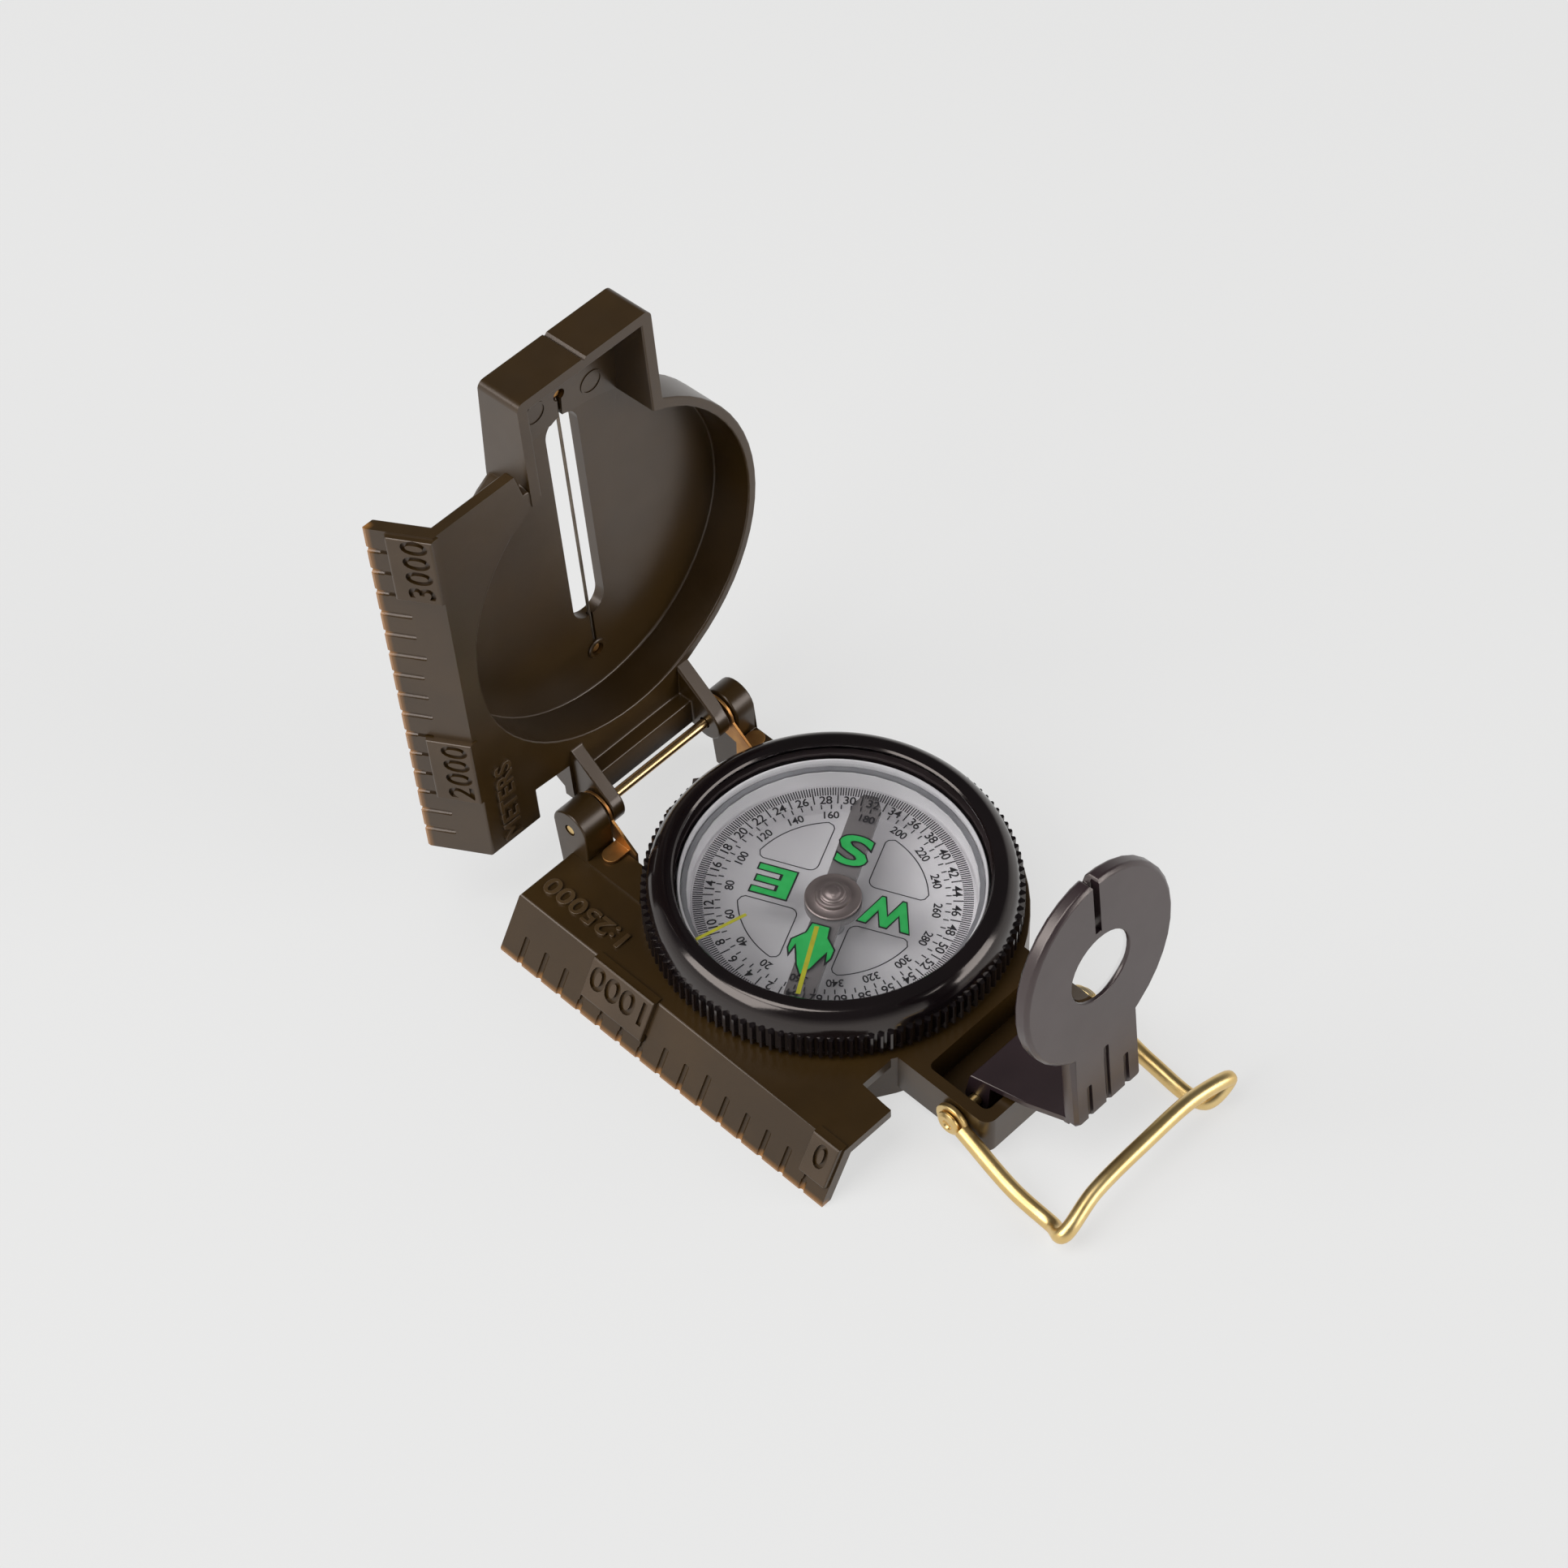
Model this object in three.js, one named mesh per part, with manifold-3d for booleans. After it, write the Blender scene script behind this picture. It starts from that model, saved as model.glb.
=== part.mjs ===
import * as THREE from 'three';
import { mergeVertices } from 'three/addons/utils/BufferGeometryUtils.js';
import Module from 'manifold-3d';

const wasm = await Module();
wasm.setup();

// Lensatic compass, millimetres, +Z up, +Y the sighting direction, dial axis through the origin.

// Shared clearances
const running_gap = 0.3;
const seat_gap = 0.12;
const over_cut = 1;

// Case shell
const edge_reach = 33.9;
const edge_length = 64;
const edge_land = 0.5;
const bevel_run = 4.6;
const deck_height = 8.8;
const sheet_thick = 1.8;
const case_floor = 2;
const body_radius = 28;
const wing_inner = 19.9;
const wing_notch = 24.4;
const pad_raise = 0.4;

// Cover hinge
const hinge_reach = 33.8;
const hinge_height = 13.6;
const hinge_pin_radius = 0.75;
const hinge_bore = 0.95;
const hinge_shift = -1.1;
const barrel_radius = 3.4;
const barrel_inner = 12.85;
const barrel_long = 4.95;
const barrel_short = 3.65;
const cover_ear_outer = 11.8;
const cover_ear_inner = 9.5;
const cover_ear_radius = 3;
const cover_ear_root = 8.3;
const web_top = 11.2;
const clip_thick = 0.45;
const clip_ring_radius = 3.1;
const clip_tab_length = 3.6;
const clip_tab_width = 2.8;
const clip_leg_lead = 1.4;
const clip_leg_drop = 2.4;
const ear_root = 16.8;
const ear_heel = 1.6;
const cover_angle = 85.25;

// Tongue, bracket axle and thumb loop
const tongue_half = 13;
const tongue_end = 41.6;
const tongue_bottom = 1.8;
const tongue_wall = 1.8;
const tongue_floor = 1;
const trough_start = 28.8;
const axle_reach = 35.8;
const axle_height = 5.4;
const axle_radius = 0.9;
const axle_bore = 1.1;
const loop_wire = 1.2;
const loop_half = 15;
const loop_reach = 22.3;
const loop_drop = 4;
const eyelet_radius = 2.8;
const eyelet_thick = 0.8;
const rivet_radius = 2;
const rivet_thick = 0.6;

// Lens bracket, drawn folded: along = away from the axle, rise = up from the axle
const bracket_angle = 84;
const plate_rise = 14.4;
const plate_thick = 2.5;
const plate_foot = 4.5;
const lens_along = 33;
const eye_along = 33.2;
const eye_half_width = 14.5;
const eye_half_length = 16.4;
const stem_half = 6.6;
const arm_thick = 2.2;
const arm_barrel = 2;
const web_side = 2.2;
const web_thick = 1.1;
const web_heel = 0.7;
const web_flat = 8.5;
const eye_hole = 5.7;
const lens_groove = 0.6;
const lens_edge = 0.9;
const lens_bulge = 0.4;
const grip_pitch = 3.7;
const grip_width = 0.9;
const grip_depth = 0.6;
const sight_width = 1.2;
const sight_depth = 1.5;
const sight_gap = 1.2;
const sight_notch = 1.3;
const plate_edge = 0.5;
const grip_short = 9;
const grip_long = 14.5;

// Cover
const cup_radius = 27.8;
const cup_recess = 26.3;
const cup_chamfer = 1.4;
const cover_floor = 1.8;
const box_half = 12.4;
const box_end = 75.3;
const box_rim = 9;
const box_slope = 1.4;
const box_slope_start = 58;
const box_wall = 1.9;
const slot_half = 3;
const slot_near = 21.5;
const slot_far = 60.5;
const wire_radius = 0.25;
const wire_level = 1.4;
const anchor_radius = 0.9;
const anchor_near = 14.6;
const anchor_far = 64.6;
const centre_notch = 0.4;

// Bezel, crystal and capsule
const bezel_foot = 9.2;
const bezel_lip = 17.1;
const lip_inner = 22.5;
const lip_outer = 24.4;
const knurl_radius = 27.2;
const knurl_depth = 0.65;
const knurl_count = 120;
const knurl_top = 13.8;
const knurl_edge = 0.25;
const shoulder_radius = 26;
const shoulder_height = 15.7;
const crystal_radius = 23.3;
const crystal_bottom = 15.2;
const crystal_thick = 1.25;
const ring_thick = 0.6;
const capsule_radius = 22;
const capsule_top = 14.1;
const capsule_bottom = 2.15;
const capsule_wall = 1.35;
const capsule_floor = 1.1;
const bead_radius = 22.8;
const bead_height = 10.6;
const bead_half = 0.3;
const lid_thick = 0.7;
const lid_rim = 0.5;
const lid_sink = 0.1;
const gasket_thick = 0.4;

// Floating card
const card_radius = 20.3;
const card_top = 10.2;
const card_thick = 0.4;
const card_angle = 117.4;
const magnet_width = 4.2;
const magnet_length = 39;
const magnet_thick = 1.1;
const hub_hole = 1.3;
const cap_radius = 4.1;
const cap_height = 1.7;
const cap_rim = 0.4;
const post_radius = 0.5;
const post_foot = 1.6;
const post_foot_thick = 0.6;

// Click spring beside the knurl
const spring_half = 3;
const spring_gap = 0.6;
const spring_thick = 0.5;
const spring_height = 1.7;

// Scale on the straight edges: 100 m on a 1:25000 map
const tick_pitch = 4;
const tick_count = 15;
const tick_width = 0.7;
const tick_depth = 0.35;
const tick_short = 3.9;
const tick_long = 4.8;
const block_raise = 0.7;
const block_start = 2.6;
const block_slope = 0.4;
const block_lead = 8;
const block_trail = 4;

const round_steps = 64;
const hidden_steps = 40;
const small_steps = 20;
const arc_steps = 6;
const rad = Math.PI / 180;

// Solid helpers
function solid(geometry) {
  const bare = geometry.index ? geometry.toNonIndexed() : geometry.clone();
  bare.deleteAttribute('normal');
  bare.deleteAttribute('uv');
  const merged = mergeVertices(bare, 1e-3);
  const place = merged.attributes.position.array;
  const corners = merged.index.array;
  const kept = [];
  let volume = 0;
  for (let i = 0; i < corners.length; i += 3) {
    const [a, b, c] = [corners[i], corners[i + 1], corners[i + 2]];
    if (a === b || b === c || a === c) continue;
    kept.push(a, b, c);
    const va = new THREE.Vector3().fromArray(place, 3 * a);
    const vb = new THREE.Vector3().fromArray(place, 3 * b);
    const vc = new THREE.Vector3().fromArray(place, 3 * c);
    volume += va.dot(vb.cross(vc));
  }
  if (volume < 0) kept.reverse();
  const data = { numProp: 3, vertProperties: Float32Array.from(place), triVerts: Uint32Array.from(kept) };
  return new wasm.Manifold(new wasm.Mesh(data));
}

function outline(points) {
  return new THREE.Shape(points.map(([x, y]) => new THREE.Vector2(x, y)));
}

function slab(shape, low, high) {
  const options = { depth: high - low, bevelEnabled: false, curveSegments: arc_steps };
  return solid(new THREE.ExtrudeGeometry(shape, options).translate(0, 0, low));
}

function alongX(shape, low, high) {
  const options = { depth: high - low, bevelEnabled: false, curveSegments: arc_steps };
  const turn = new THREE.Matrix4().makeBasis(
    new THREE.Vector3(0, 1, 0),
    new THREE.Vector3(0, 0, 1),
    new THREE.Vector3(1, 0, 0)
  );
  return solid(new THREE.ExtrudeGeometry(shape, options).applyMatrix4(turn).translate(low, 0, 0));
}

function alongY(shape, low, high) {
  const options = { depth: high - low, bevelEnabled: false, curveSegments: arc_steps };
  return solid(new THREE.ExtrudeGeometry(shape, options).rotateX(Math.PI / 2).translate(0, high, 0));
}

function block(x0, x1, y0, y1, z0, z1) {
  const box = new THREE.BoxGeometry(x1 - x0, y1 - y0, z1 - z0);
  return solid(box.translate((x0 + x1) / 2, (y0 + y1) / 2, (z0 + z1) / 2));
}

function turned(profile, steps = round_steps) {
  const points = profile.map(([r, z]) => new THREE.Vector2(r, z));
  return solid(new THREE.LatheGeometry(points, steps).rotateX(Math.PI / 2));
}

function ring(profile, steps = round_steps) {
  return turned([...profile, profile[0]], steps);
}

function post(radius, z0, z1, steps = round_steps) {
  return turned([[0, z0], [radius, z0], [radius, z1], [0, z1]], steps);
}

function rod(radius, x0, x1, y, z, steps = small_steps) {
  const geometry = new THREE.CylinderGeometry(radius, radius, x1 - x0, steps);
  return solid(geometry.rotateZ(Math.PI / 2).translate((x0 + x1) / 2, y, z));
}

function rounded(x0, x1, y0, y1, corner) {
  const shape = new THREE.Shape();
  shape.moveTo(x0 + corner, y0);
  shape.lineTo(x1 - corner, y0);
  shape.absarc(x1 - corner, y0 + corner, corner, -Math.PI / 2, 0);
  shape.lineTo(x1, y1 - corner);
  shape.absarc(x1 - corner, y1 - corner, corner, 0, Math.PI / 2);
  shape.lineTo(x0 + corner, y1);
  shape.absarc(x0 + corner, y1 - corner, corner, Math.PI / 2, Math.PI);
  shape.lineTo(x0, y0 + corner);
  shape.absarc(x0 + corner, y0 + corner, corner, Math.PI, 1.5 * Math.PI);
  return shape;
}

function mirrored(shape) {
  return shape.mirror([1, 0, 0]);
}

function piece(name, shape, colour, roughness, metalness) {
  const mesh = shape.getMesh();
  const geometry = new THREE.BufferGeometry();
  geometry.setAttribute('position', new THREE.BufferAttribute(mesh.vertProperties.slice(), 3));
  geometry.setIndex(new THREE.BufferAttribute(mesh.triVerts.slice(), 1));
  geometry.computeVertexNormals();
  const material = new THREE.MeshStandardMaterial({ color: colour, roughness, metalness });
  const result = new THREE.Mesh(geometry, material);
  result.name = name;
  return result;
}

// Straight edge shared by base and cover: a thin bevelled sheet hanging from the deck
const bevel_along = new THREE.Vector2(bevel_run, deck_height - edge_land);
const bevel_length = bevel_along.length();
const bevel_step = bevel_along.clone().normalize();
const bevel_out = new THREE.Vector2(-bevel_step.y, bevel_step.x);
const sheet_foot = sheet_thick / bevel_step.y;
const deck_edge = edge_reach - bevel_run;

function onBevel(along, out) {
  const point = new THREE.Vector2(-edge_reach, edge_land);
  point.addScaledVector(bevel_step, along).addScaledVector(bevel_out, out);
  return [point.x, point.y];
}

function bevelSheet(low, high) {
  const inner_top = deck_height - sheet_thick;
  const inner_run = bevel_run * inner_top / (deck_height - edge_land);
  return alongY(outline([
    [-edge_reach, 0],
    [-edge_reach, edge_land],
    [-deck_edge, deck_height],
    [-deck_edge + sheet_foot, deck_height],
    [-edge_reach + sheet_foot + inner_run, inner_top],
    [-edge_reach + sheet_foot, 0]
  ]), low, high);
}

function tickGroove(place, length) {
  return alongY(outline([
    onBevel(-over_cut, over_cut),
    onBevel(length, over_cut),
    onBevel(length, -tick_depth),
    onBevel(-over_cut, -tick_depth)
  ]), place - tick_width / 2, place + tick_width / 2);
}

function numberBlock(low, high) {
  const top = onBevel(bevel_length, block_raise);
  return alongY(outline([
    onBevel(block_start + block_slope, -block_raise),
    onBevel(block_start, 0),
    onBevel(block_start + block_slope, block_raise),
    top,
    [-deck_edge + block_raise, top[1]],
    [-deck_edge + block_raise, deck_height - block_raise],
    [-deck_edge, deck_height - 2 * block_raise]
  ]), low, high);
}

function markedEdge(sheet, direction, start, blocks) {
  let marked = sheet;
  for (let i = 1; i <= tick_count; i++) {
    const length = i % 5 === 0 ? tick_long : tick_short;
    marked = marked.subtract(tickGroove(start + direction * i * tick_pitch, length));
  }
  for (const [from, to] of blocks) {
    const ends = [start + direction * from, start + direction * to];
    marked = marked.add(numberBlock(Math.min(...ends), Math.max(...ends)));
  }
  return marked;
}

// Base: round body, marked wing, hinge ears and the tongue that carries the lens bracket
const base_back = hinge_reach - running_gap / 2;
const base_front = hinge_reach - edge_length;
const first_mark = 5 * tick_pitch;
const last_mark = 15 * tick_pitch;
const zero_lead = 1.2;

function baseEar(length) {
  const foot_start = hinge_reach - ear_root;
  const profile = new THREE.Shape();
  profile.moveTo(foot_start, 0);
  profile.lineTo(hinge_reach + ear_heel, 0);
  profile.lineTo(hinge_reach + barrel_radius, hinge_height);
  profile.absarc(hinge_reach, hinge_height, barrel_radius, 0, Math.PI);
  profile.lineTo(hinge_reach - barrel_radius, deck_height + pad_raise);
  profile.lineTo(foot_start, deck_height + pad_raise);
  return alongX(profile, barrel_inner, barrel_inner + length);
}

function makeBase() {
  const deck_low = deck_height - sheet_thick;
  const shelf_half = 1.5 * spring_half;
  const shelf_back = knurl_radius + spring_gap + 3 * spring_thick;
  const shelf_low = deck_height / 2;
  const blocks = [
    [first_mark - block_trail, first_mark + block_lead],
    [last_mark - zero_lead, edge_length - over_cut / 4]
  ];
  let base = bevelSheet(base_front, base_back);
  base = markedEdge(base, -1, hinge_reach, blocks);
  const deck = outline([
    [-deck_edge, base_front],
    [-wing_inner, base_front],
    [-wing_inner, -wing_notch],
    [hinge_shift - barrel_inner, -wing_notch],
    [hinge_shift - barrel_inner, base_back],
    [-deck_edge, base_back]
  ]);
  base = base.add(slab(deck, deck_low, deck_height));
  base = base.add(post(body_radius, 0, deck_height));
  const tongue = rounded(-tongue_half, tongue_half, -tongue_end, -capsule_radius, tongue_wall);
  base = base.add(slab(tongue, tongue_bottom, deck_height));
  base = base.add(baseEar(barrel_short).translate([hinge_shift, 0, 0]));
  base = base.add(mirrored(baseEar(barrel_long)).translate([hinge_shift, 0, 0]));
  base = base.add(block(-shelf_half, shelf_half, capsule_radius + over_cut, shelf_back, shelf_low, deck_height));
  base = base.subtract(post(capsule_radius + seat_gap, case_floor, deck_height + over_cut));
  base = base.subtract(post(knurl_radius + running_gap, deck_height, deck_height + over_cut));
  const trough_half = tongue_half - tongue_wall;
  const trough = rounded(-trough_half, trough_half, -tongue_end + tongue_wall, -trough_start, over_cut);
  base = base.subtract(slab(trough, tongue_bottom + tongue_floor, deck_height + over_cut));
  base = base.subtract(rod(axle_bore, -tongue_half - over_cut, tongue_half + over_cut, -axle_reach, axle_height));
  base = base.subtract(rod(hinge_bore, -edge_reach, edge_reach, hinge_reach, hinge_height));
  return piece('base', base, 0x3a2d1e, 0.55, 0);
}

// Cover: drawn lying open and flat, outer face at z = 0, distance from the hinge along y
function coverEar() {
  const sink = 1;
  const tangent_angle = 42 * rad;
  const heel_angle = 220 * rad;
  const profile = new THREE.Shape();
  profile.moveTo(-cover_ear_radius / 2, deck_height - sink);
  profile.lineTo(cover_ear_root, deck_height - sink);
  profile.lineTo(cover_ear_root, deck_height);
  profile.absarc(0, hinge_height, cover_ear_radius, tangent_angle, heel_angle);
  return alongX(profile, cover_ear_inner, cover_ear_outer);
}

function makeCover() {
  const deck_low = deck_height - sheet_thick;
  const cover_start = running_gap / 2;
  const step_back = 6;
  const notch_depth = 4.2;
  const notch_width = 2;
  const box_corner = 1.2;
  const knuckle_front = -1.5;
  const knuckle_heel = 3;
  const knuckle_back = 11;
  const knuckle_side = cover_ear_outer + 2 * running_gap;
  const web_back = 3;
  const groove_half = wire_radius + seat_gap;
  const blocks = [
    [first_mark - block_lead, first_mark + block_trail],
    [last_mark - block_lead, edge_length - over_cut / 4]
  ];
  let cover = bevelSheet(cover_start, edge_length);
  cover = markedEdge(cover, 1, 0, blocks);
  const deck = outline([
    [-deck_edge, cover_start],
    [-wing_inner, cover_start],
    [-wing_inner, step_back],
    [0, step_back],
    [0, edge_length - notch_depth],
    [-box_half - notch_width / 2, edge_length - notch_depth],
    [-box_half - notch_width, edge_length],
    [-deck_edge, edge_length]
  ]);
  cover = cover.add(slab(deck, deck_low, deck_height));
  const cup = turned([
    [0, 0],
    [cup_radius - cup_chamfer, 0],
    [cup_radius - cup_chamfer / 3, cup_chamfer / 3],
    [cup_radius, cup_chamfer],
    [cup_radius, deck_height],
    [0, deck_height]
  ]);
  cover = cover.add(cup.translate([0, hinge_reach, 0]));
  const box = slab(rounded(-box_half, box_half, hinge_reach, box_end, box_corner), 0, box_rim);
  const box_side = (floor, end) => outline([
    [hinge_reach, floor],
    [box_slope_start, floor],
    [end, floor + box_slope],
    [end, 2 * box_rim],
    [hinge_reach, 2 * box_rim]
  ]);
  cover = cover.add(box.intersect(alongX(box_side(0, box_end), -box_half, box_half)));
  const knuckle = outline([
    [knuckle_back, 0],
    [knuckle_back, deck_height],
    [knuckle_front, deck_height],
    [knuckle_front, deck_low],
    [knuckle_heel, 0]
  ]);
  cover = cover.add(alongX(knuckle, hinge_shift - cover_ear_outer, hinge_shift + cover_ear_outer));
  cover = cover.add(
    block(hinge_shift - knuckle_side, 0, knuckle_front, knuckle_back, deck_low, deck_height)
  );
  cover = cover.subtract(post(cup_recess, cover_floor, 2 * box_rim).translate([0, hinge_reach, 0]));
  const box_inside = box_half - box_wall;
  cover = cover.subtract(alongX(box_side(cover_floor, box_end - box_wall), -box_inside, box_inside));
  const web_ends = [hinge_shift - cover_ear_outer, hinge_shift + cover_ear_outer];
  cover = cover.add(block(...web_ends, knuckle_front, web_back, deck_low, web_top));
  cover = cover.add(coverEar().translate([hinge_shift, 0, 0]));
  cover = cover.add(mirrored(coverEar()).translate([hinge_shift, 0, 0]));
  const slot = rounded(-slot_half, slot_half, slot_near, slot_far, slot_half - seat_gap);
  cover = cover.subtract(slab(slot, -over_cut, cover_floor + over_cut));
  const groove_low = wire_level - groove_half;
  const groove_high = cover_floor + over_cut;
  cover = cover.subtract(block(-groove_half, groove_half, anchor_near, anchor_far, groove_low, groove_high));
  for (const place of [anchor_near, anchor_far]) {
    const recess = post(anchor_radius + seat_gap, groove_low, groove_high, small_steps);
    cover = cover.subtract(recess.translate([0, place, 0]));
  }
  const notch = outline([
    [-2 * centre_notch, box_end + centre_notch],
    [0, box_end - centre_notch],
    [2 * centre_notch, box_end + centre_notch]
  ]);
  cover = cover.subtract(slab(notch, -over_cut, box_rim + over_cut));
  cover = cover.subtract(rod(hinge_bore, -edge_reach, edge_reach, 0, hinge_height));
  return piece('cover', cover.translate([0, 0, -hinge_height]), 0x3d2f20, 0.55, 0);
}

function makeSightingWire() {
  const low = anchor_near + anchor_radius + seat_gap / 2;
  const high = anchor_far - anchor_radius - seat_gap / 2;
  const wire = new THREE.CylinderGeometry(wire_radius, wire_radius, high - low, 12);
  const shape = solid(wire.translate(0, (low + high) / 2, wire_level - hinge_height));
  return piece('sighting_wire', shape, 0x8d8a86, 0.35, 1);
}

function makeAnchor(name, place) {
  const foot = wire_level - wire_radius - seat_gap / 2;
  const head = cover_floor - foot;
  const shape = turned([
    [0, 0],
    [anchor_radius, 0],
    [anchor_radius, head * 0.6],
    [anchor_radius * 0.6, head],
    [0, head]
  ], small_steps);
  return piece(name, shape.translate([0, place, foot - hinge_height]), 0x8a7a5c, 0.4, 1);
}

// Hinge hardware
function makeHingePin() {
  const left = hinge_shift - barrel_inner - barrel_long + seat_gap;
  const right = hinge_shift + barrel_inner + barrel_short - seat_gap;
  const shape = rod(hinge_pin_radius, left, right, hinge_reach, hinge_height);
  return piece('hinge_pin', shape, 0xd2ab66, 0.3, 1);
}

function hingeClip(name, toOwnSide) {
  const inner = cover_ear_outer + running_gap;
  const outer = inner + clip_thick;
  const tab_back = hinge_reach - barrel_radius - running_gap;
  const tab_front = tab_back - clip_tab_width;
  const tab_level = deck_height + pad_raise + seat_gap;
  const leg_low = deck_height - clip_leg_drop;
  const leg_front = tab_front - clip_leg_lead;
  const leaf = new THREE.Shape();
  leaf.absarc(hinge_reach, hinge_height, clip_ring_radius, -Math.PI / 2, Math.PI);
  leaf.lineTo(leg_front, tab_level + clip_thick);
  leaf.lineTo(leg_front, leg_low);
  leaf.lineTo(tab_back, leg_low);
  leaf.lineTo(tab_back, tab_level + clip_thick);
  const tab_end = outer + clip_tab_length;
  const half = clip_tab_width / 2;
  const tab = new THREE.Shape();
  tab.moveTo(inner, tab_front);
  tab.lineTo(tab_end - half, tab_front);
  tab.absarc(tab_end - half, tab_front + half, half, -Math.PI / 2, Math.PI / 2);
  tab.lineTo(inner, tab_back);
  let clip = alongX(leaf, inner, outer);
  clip = clip.add(slab(tab, tab_level, tab_level + clip_thick));
  clip = clip.subtract(rod(hinge_bore, inner - over_cut, outer + over_cut, hinge_reach, hinge_height));
  clip = toOwnSide(clip).translate([hinge_shift, 0, 0]);
  clip = clip.subtract(post(body_radius + seat_gap, 0, deck_height));
  clip = clip.subtract(post(knurl_radius + running_gap, deck_height, bezel_lip));
  return piece(name, clip, 0xd0a860, 0.32, 1);
}

// Click spring: a bent leaf standing on the rear shelf, its nose towards the knurl
function makeClickSpring() {
  const near = knurl_radius + spring_gap;
  const leaf = outline([
    [-spring_half, near],
    [0, near],
    [spring_half / 2, near + 2 * spring_thick],
    [0.75 * spring_half, near + spring_thick],
    [0.9 * spring_half, near + 1.6 * spring_thick],
    [spring_half / 2, near + 3.4 * spring_thick],
    [0, near + spring_thick],
    [-spring_half, near + spring_thick]
  ]);
  const foot = deck_height + seat_gap / 2;
  return piece('click_spring', slab(leaf, foot, foot + spring_height), 0x5f5142, 0.45, 0.8);
}

// Bezel: knurled grip, conical shoulder and lip, with grooves for the crystal and the capsule bead
const crystal_top = crystal_bottom + crystal_thick;
const groove_radius = crystal_radius + seat_gap;
const ring_top = crystal_bottom - seat_gap / 2;
const ring_bottom = ring_top - ring_thick;
const bore_radius = capsule_radius + running_gap;

function makeBezel() {
  const root = knurl_radius - knurl_depth;
  let bezel = ring([
    [bore_radius, bezel_foot],
    [root, bezel_foot],
    [root, knurl_top],
    [shoulder_radius, shoulder_height],
    [lip_outer, bezel_lip],
    [lip_inner, bezel_lip],
    [lip_inner, crystal_top + seat_gap],
    [groove_radius, crystal_top + seat_gap],
    [groove_radius, ring_bottom - seat_gap / 2],
    [bore_radius, ring_bottom - seat_gap / 2],
    [bore_radius, bead_height + bead_half + running_gap],
    [bead_radius + running_gap, bead_height + bead_half + running_gap],
    [bead_radius + running_gap, bead_height - bead_half - running_gap],
    [bore_radius, bead_height - bead_half - running_gap]
  ]);
  const teeth = new THREE.Shape();
  for (let i = 0; i < knurl_count; i++) {
    for (const [part, radius] of [[0, root], [0.3, knurl_radius], [0.7, knurl_radius]]) {
      const angle = 2 * Math.PI * (i + part) / knurl_count;
      const point = [radius * Math.cos(angle), radius * Math.sin(angle)];
      if (i + part === 0) teeth.moveTo(...point);
      else teeth.lineTo(...point);
    }
  }
  const middle = new THREE.Path();
  middle.absarc(0, 0, root - over_cut, 0, 2 * Math.PI, true);
  teeth.holes.push(middle);
  bezel = bezel.add(slab(teeth, bezel_foot + knurl_edge, knurl_top - knurl_edge));
  return piece('bezel_ring', bezel, 0x1f1b1e, 0.32, 0);
}

function makeCrystal() {
  const edge = 0.2;
  const shape = turned([
    [0, crystal_bottom],
    [crystal_radius, crystal_bottom],
    [crystal_radius, crystal_top - edge],
    [crystal_radius - edge, crystal_top],
    [0, crystal_top]
  ]);
  return piece('bezel_crystal', shape, 0xdfe4e6, 0.05, 0);
}

function makeCrystalRing() {
  const shape = ring([
    [bore_radius + seat_gap, ring_bottom],
    [crystal_radius, ring_bottom],
    [crystal_radius, ring_top],
    [bore_radius + seat_gap, ring_top]
  ], hidden_steps);
  return piece('crystal_ring', shape, 0x2a2628, 0.4, 0);
}

// Sealed capsule: cup, gasket and clear lid around the floating card
const capsule_inner = capsule_radius - capsule_wall;
const lid_radius = capsule_radius - lid_rim;
const lid_top = capsule_top - lid_sink;
const lid_bottom = lid_top - lid_thick;
const gasket_top = lid_bottom - seat_gap / 2;
const gasket_bottom = gasket_top - gasket_thick;
const chamber_floor = capsule_bottom + capsule_floor;

function makeCapsule() {
  const ledge = gasket_bottom - seat_gap / 2;
  const shape = turned([
    [0, capsule_bottom],
    [capsule_radius, capsule_bottom],
    [capsule_radius, bead_height - bead_half],
    [bead_radius, bead_height - bead_half],
    [bead_radius, bead_height],
    [capsule_radius, bead_height + bead_half],
    [capsule_radius, capsule_top],
    [lid_radius + seat_gap, capsule_top],
    [lid_radius + seat_gap, ledge],
    [capsule_inner, ledge],
    [capsule_inner, chamber_floor],
    [0, chamber_floor]
  ], hidden_steps);
  return piece('capsule_cup', shape, 0xc9c9cc, 0.5, 0);
}

function makeGasket() {
  const shape = ring([
    [capsule_inner + seat_gap, gasket_bottom],
    [lid_radius, gasket_bottom],
    [lid_radius, gasket_top],
    [capsule_inner + seat_gap, gasket_top]
  ], hidden_steps);
  return piece('capsule_gasket', shape, 0x8f8f94, 0.8, 0);
}

function makeLid() {
  return piece('capsule_lid', post(lid_radius, lid_bottom, lid_top, hidden_steps), 0xe4e8ea, 0.05, 0);
}

// Floating card: printed clear disc, bar magnet below it, jewelled cap on a pointed post
const card_bottom = card_top - card_thick;
const magnet_top = card_bottom - seat_gap / 2;
const cap_foot = card_top + seat_gap / 2;
const post_tip = cap_foot + cap_height * 0.45;

function makeCard() {
  const shape = post(card_radius, card_bottom, card_top);
  const hole = post(hub_hole, card_bottom - over_cut, card_top + over_cut, small_steps);
  return piece('dial_card', shape.subtract(hole), 0xb9bbbf, 0.3, 0);
}

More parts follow.
